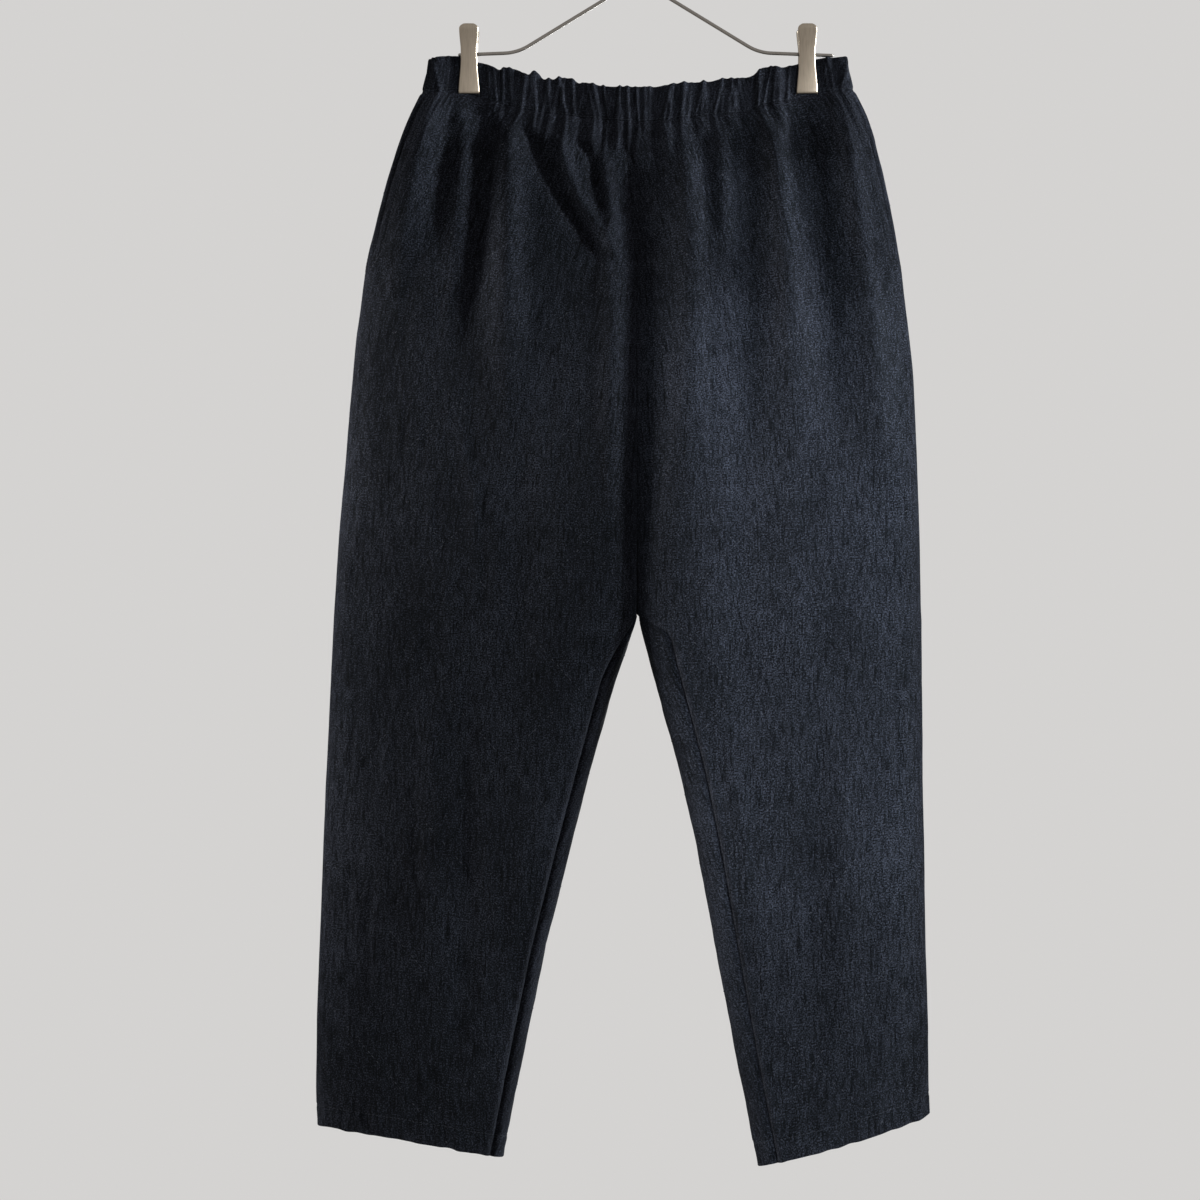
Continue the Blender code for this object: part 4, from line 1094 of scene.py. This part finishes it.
def hookPath():
    # up the shank, an S-curve to the circle, then round over the crown to the open end
    h = hangerLook
    centre = np.array((0.0, 0.0, h["hookWire"] - h["hookRadius"]))
    joinAngle = math.radians(h["hookTurn"][0])
    join = centre + h["hookRadius"] * np.array((math.cos(joinAngle), 0.0, math.sin(joinAngle)))
    heading = np.array((-math.sin(joinAngle), 0.0, math.cos(joinAngle)))
    foot = np.array((0.0, 0.0, -h["hookJoin"]))
    pull = h["hookPull"]
    share = np.linspace(0, 1, 22)[:-1, None]
    rise = ((1 - share) ** 3 * foot + 3 * share * (1 - share) ** 2 * (foot + np.array((0.0, 0.0, pull)))
            + 3 * share ** 2 * (1 - share) * (join - heading * pull) + share ** 3 * join)
    angle = np.radians(np.linspace(*h["hookTurn"], 76))
    circle = centre + h["hookRadius"] * np.column_stack((np.cos(angle), 0 * angle, np.sin(angle)))
    return np.concatenate((np.array(((0.0, 0.0, h["shankEnd"]),)), rise, circle))


def makeWire(name, path, radius, replaced):
    # a round wire along a path, with domed ends
    path, radii = roundEnds(path, radius)
    points = tube(path, radii, hangerLook["sides"], np.array((0.0, 1.0, 0.0)))
    faces = tubeFaces(len(path), hangerLook["sides"])
    return makeMesh(name, points, faces, wireSteel, (replaced,))


def makeFerrule():
    # a closed profile turned about Z: a barrel with two rolled grooves and rounded rims
    h = hangerLook
    bottom, top, radius = h["ferruleBottom"], h["ferruleTop"], h["ferruleRadius"]
    share = np.linspace(0, 1, 44)
    z = bottom + (top - bottom) * share
    rim = np.sqrt(np.clip(1 - np.clip(1 - np.minimum(share, 1 - share) / 0.06, 0, 1) ** 2, 0, 1))
    groove = sum(bell(share - place, 0.035) for place in (0.2, 0.8))
    outer = radius - h["ferruleRim"] * (1 - rim) - h["ferruleGroove"] * groove
    bore = h["hookWire"] + 0.0003
    radii = np.concatenate((outer, (bore, bore)))
    heights = np.concatenate((z, (top, bottom)))
    turn = np.linspace(0, 2 * np.pi, 40, endpoint=False)
    x, y = radii[:, None] * np.cos(turn), radii[:, None] * np.sin(turn)
    points = np.stack((x, y, np.repeat(heights[:, None], turn.size, axis=1)), axis=-1)
    faces = gridFaces(len(radii), turn.size, closedAlong=True, closedAcross=True)
    return makeMesh("ferruleBarrel", points, faces, clipSteel, ("hanger_ferrule",))


clipLook = {
    "columns": ("height", "halfWidth", "far", "flange"),
    "rows": (
        (0, 8.75, 6.0, 0.9), (3, 8.8, 6.4, 1.1), (10, 8.3, 6.7, 1.3), (20, 7.3, 6.8, 1.7),
        (30, 6.75, 6.9, 2.2), (38, 6.8, 7.2, 2.6), (46, 7.6, 9.3, 2.8), (52, 8.0, 11.3, 2.6),
        (55.5, 7.9, 12.5, 2.2), (57, 7.8, 13.0, 1.8),
    ),
    "length": 0.057, "bottomZ": -0.1788, "plate": 0.0009, "corner": 0.0013, "topRound": 0.0042,
    "crown": 0.0003, "blur": 0.0045, "topIn": 0.42, "topDip": 0.0014, "lip": 0.0017, "lipDip": 0.0011,
    "springRadius": 0.0033, "springWire": 0.00062, "springTurns": 5, "springHalf": 0.0046,
    "springArm": (0.0, 0.0038, 0.0150),
}


def makeJaw(side, face):
    # a pressed plate: at each height a crowned face, two rounded corners and flanges turned back
    facing = facings[face]
    c = clipLook
    heights = c["length"] * np.sin(np.linspace(0, np.pi / 2, 72)) ** 1.25
    half, far, flange = (softReading(c, name, heights, c["blur"]) for name in c["columns"][1:])
    fromTop = np.clip(1 - (c["length"] - heights) / c["topRound"], 0, 1)
    half = half * (1 - fromTop ** 2.4 * c["topIn"])
    fromFoot = np.clip(1 - heights / c["lip"], 0, 1)
    far = far - c["topDip"] * fromTop ** 2 - c["lipDip"] * fromFoot ** 2
    corner = np.minimum(c["corner"], flange)
    flat = np.linspace(-1, 1, 13)
    turn = np.linspace(0, np.pi / 2, 7)[1:]
    back = np.linspace(0, 1, 4)[1:]
    columns = []
    for way in (-1, 1):
        edgeX = way * (half[:, None] - corner[:, None] * (1 - np.sin(turn)))
        edgeY = corner[:, None] * (1 - np.cos(turn))
        flangeX = way * half[:, None] * np.ones(back.size)
        flangeY = corner[:, None] + (flange - corner)[:, None] * back
        columns.append((np.concatenate((edgeX, flangeX), axis=1), np.concatenate((edgeY, flangeY), axis=1)))
    faceX = (half - corner)[:, None] * flat
    faceY = c["crown"] * flat ** 2 * np.ones_like(faceX) - c["crown"]
    x = np.concatenate((columns[0][0][:, ::-1], faceX, columns[1][0]), axis=1)
    inward = np.concatenate((columns[0][1][:, ::-1], faceY, columns[1][1]), axis=1)
    y = facing * (far[:, None] - inward)
    z = np.repeat((c["bottomZ"] + heights)[:, None], x.shape[1], axis=1)
    points = np.stack((side * cut["clipX"] + x, y, z), axis=-1)
    faces = gridFaces(*points.shape[:2])[:, ::-facing]
    name = "clip_" + sideNames[side] + "_" + face + "_jaw"
    return makeMesh(name + "_plate", points, faces, clipSteel, (name,), wall=c["plate"])


def makeSpring(side):
    # a wire from one jaw down to the bar, round it in a helix, and up to the other jaw
    c = clipLook
    r = c["springRadius"]
    turn = np.linspace(0, np.pi * (2 * c["springTurns"] + 1), 190)
    across = np.linspace(-c["springHalf"], c["springHalf"], turn.size)
    coil = np.column_stack((across, -r * np.cos(turn), -r * np.sin(turn)))
    rise = np.linspace(1, 0, 12)[:-1, None]
    armTop = np.array(c["springArm"])
    front = coil[0] + rise * armTop * (1, -1, 1)
    back = coil[-1] + rise[::-1] * armTop
    path = np.concatenate((front, coil, back)) + np.array((side * cut["clipX"], 0.0, hangerLook["barZ"]))
    path, radii = roundEnds(path, c["springWire"])
    points = tube(path, radii, 10, np.array((1.0, 0.0, 0.0)))
    name = "clip_" + sideNames[side]
    faces = tubeFaces(len(path), 10)
    return makeMesh(name + "_spring", points, faces, wireSteel, (name + "_sleeve",))


makeWire("frameWire", framePath(), hangerLook["wireRadius"], "hanger_frame")
makeWire("hookWire", hookPath(), hangerLook["hookWire"], "hanger_hook")
makeFerrule()
for side in (1, -1):
    makeSpring(side)
    for face in facings:
        makeJaw(side, face)
print("hanger made")


stageLook = {
    "eye": (-0.0315, -2.45, -0.598), "lens": 88.6,
    "floorZ": -1.70, "floorHalf": 2.6, "floorSteps": 13,
    "floorTones": ((0.3, (0.60, 0.59, 0.57)), (0.7, (0.66, 0.65, 0.63))), "room": (0.66, 0.65, 0.64, 1),
}


def makeStage():
    # an even grid of quads as the floor, clear below the hems
    half, steps = stageLook["floorHalf"], stageLook["floorSteps"]
    x, y = np.meshgrid(np.linspace(-half, half, steps), np.linspace(-half, half, steps))
    points = np.stack((x, y, np.full_like(x, stageLook["floorZ"])), axis=-1)
    mesh = bpy.data.meshes.new("floor")
    mesh.from_pydata(points.reshape(-1, 3).tolist(), [], gridFaces(steps, steps).tolist())
    shading = Shading("paleFloor")
    tones = shading.ramp(shading.noise(shading.place(), (3, 3, 3), detail=4.0), stageLook["floorTones"])
    shading.fill(shading.shader, {"Base Color": tones, "Roughness": 0.8})
    mesh.materials.append(shading.material)
    addObject("floor", mesh)


def makeCamera():
    # a long lens that looks level along +Y
    camera = addObject("camera", bpy.data.cameras.new("camera"))
    camera.data.lens = stageLook["lens"]
    camera.data.sensor_width = 36
    camera.data.clip_end = 50
    camera.location = stageLook["eye"]
    camera.rotation_euler = (math.pi / 2, 0, 0)
    bpy.context.scene.camera = camera


# name, place, target, width and height, spread in degrees, power, colour
lightLook = (
    ("window", (1.25, -0.27, -0.15), (0.0, 0.0, -0.23), (0.30, 0.38), 18, 1.52, (0.92, 0.97, 1.0)),
    ("windowLower", (1.25, -0.12, -0.78), (0.25, 0.0, -0.78), (0.30, 0.80), 12, 2.1, (0.92, 0.97, 1.0)),
    ("glowBand", (0.75, -0.95, -0.180), (0.0, 0.0, -0.180), (0.36, 0.030), 4, 0.042, (0.95, 0.98, 1.0)),
    ("bounceUpper", (-1.25, -0.08, -0.41), (-0.25, 0.0, -0.41), (0.3, 0.32), 12, 0.46, (1.0, 0.98, 0.96)),
    ("bounceMiddle", (-1.25, -0.08, -0.55), (-0.25, 0.0, -0.55), (0.3, 0.60), 12, 0.76, (1.0, 0.98, 0.96)),
    ("bounceLower", (-1.25, -0.20, -0.76), (-0.25, 0.0, -0.76), (0.3, 0.92), 12, 1.65, (1.0, 0.98, 0.96)),
    ("glowUpper", (1.009, -0.90, -0.395), (0.127, 0.0, -0.395), (0.137, 0.45), 3, 0.147, (0.88, 0.95, 1.0)),
    ("glowMiddle", (1.005, -0.90, -0.550), (0.123, 0.0, -0.550), (0.144, 0.62), 3, 0.455, (0.88, 0.95, 1.0)),
    ("glowLower", (0.717, -1.05, -0.750), (0.117, 0.0, -0.750), (0.187, 0.80), 3, 0.96, (0.88, 0.95, 1.0)),
    ("backWindow", (0.70, 1.40, -0.30), (0.0, 0.0, -0.6), (0.8, 1.2), 180, 40, (0.95, 0.98, 1.0)),
)


def makeLight(name, place, target, size, spread, power, colour):
    # a rectangular lamp turned from its place to its target
    data = bpy.data.lights.new(name, "AREA")
    data.shape = "RECTANGLE"
    data.size, data.size_y = size
    data.spread = math.radians(spread)
    data.energy = power
    data.color = colour
    light = addObject(name, data)
    light.location = place
    light.rotation_euler = (Vector(target) - Vector(place)).to_track_quat("-Z", "Y").to_euler()


def makeWorld():
    # an even pale room behind everything
    world = bpy.data.worlds.new("paleRoom")
    world.use_nodes = True
    background = world.node_tree.nodes["Background"]
    background.inputs["Color"].default_value = stageLook["room"]
    background.inputs["Strength"].default_value = 1.0
    bpy.context.scene.world = world


makeStage()
makeCamera()
makeWorld()
for light in lightLook:
    makeLight(*light)
bpy.context.scene.view_settings.view_transform = "Standard"
print("stage, camera and light made")
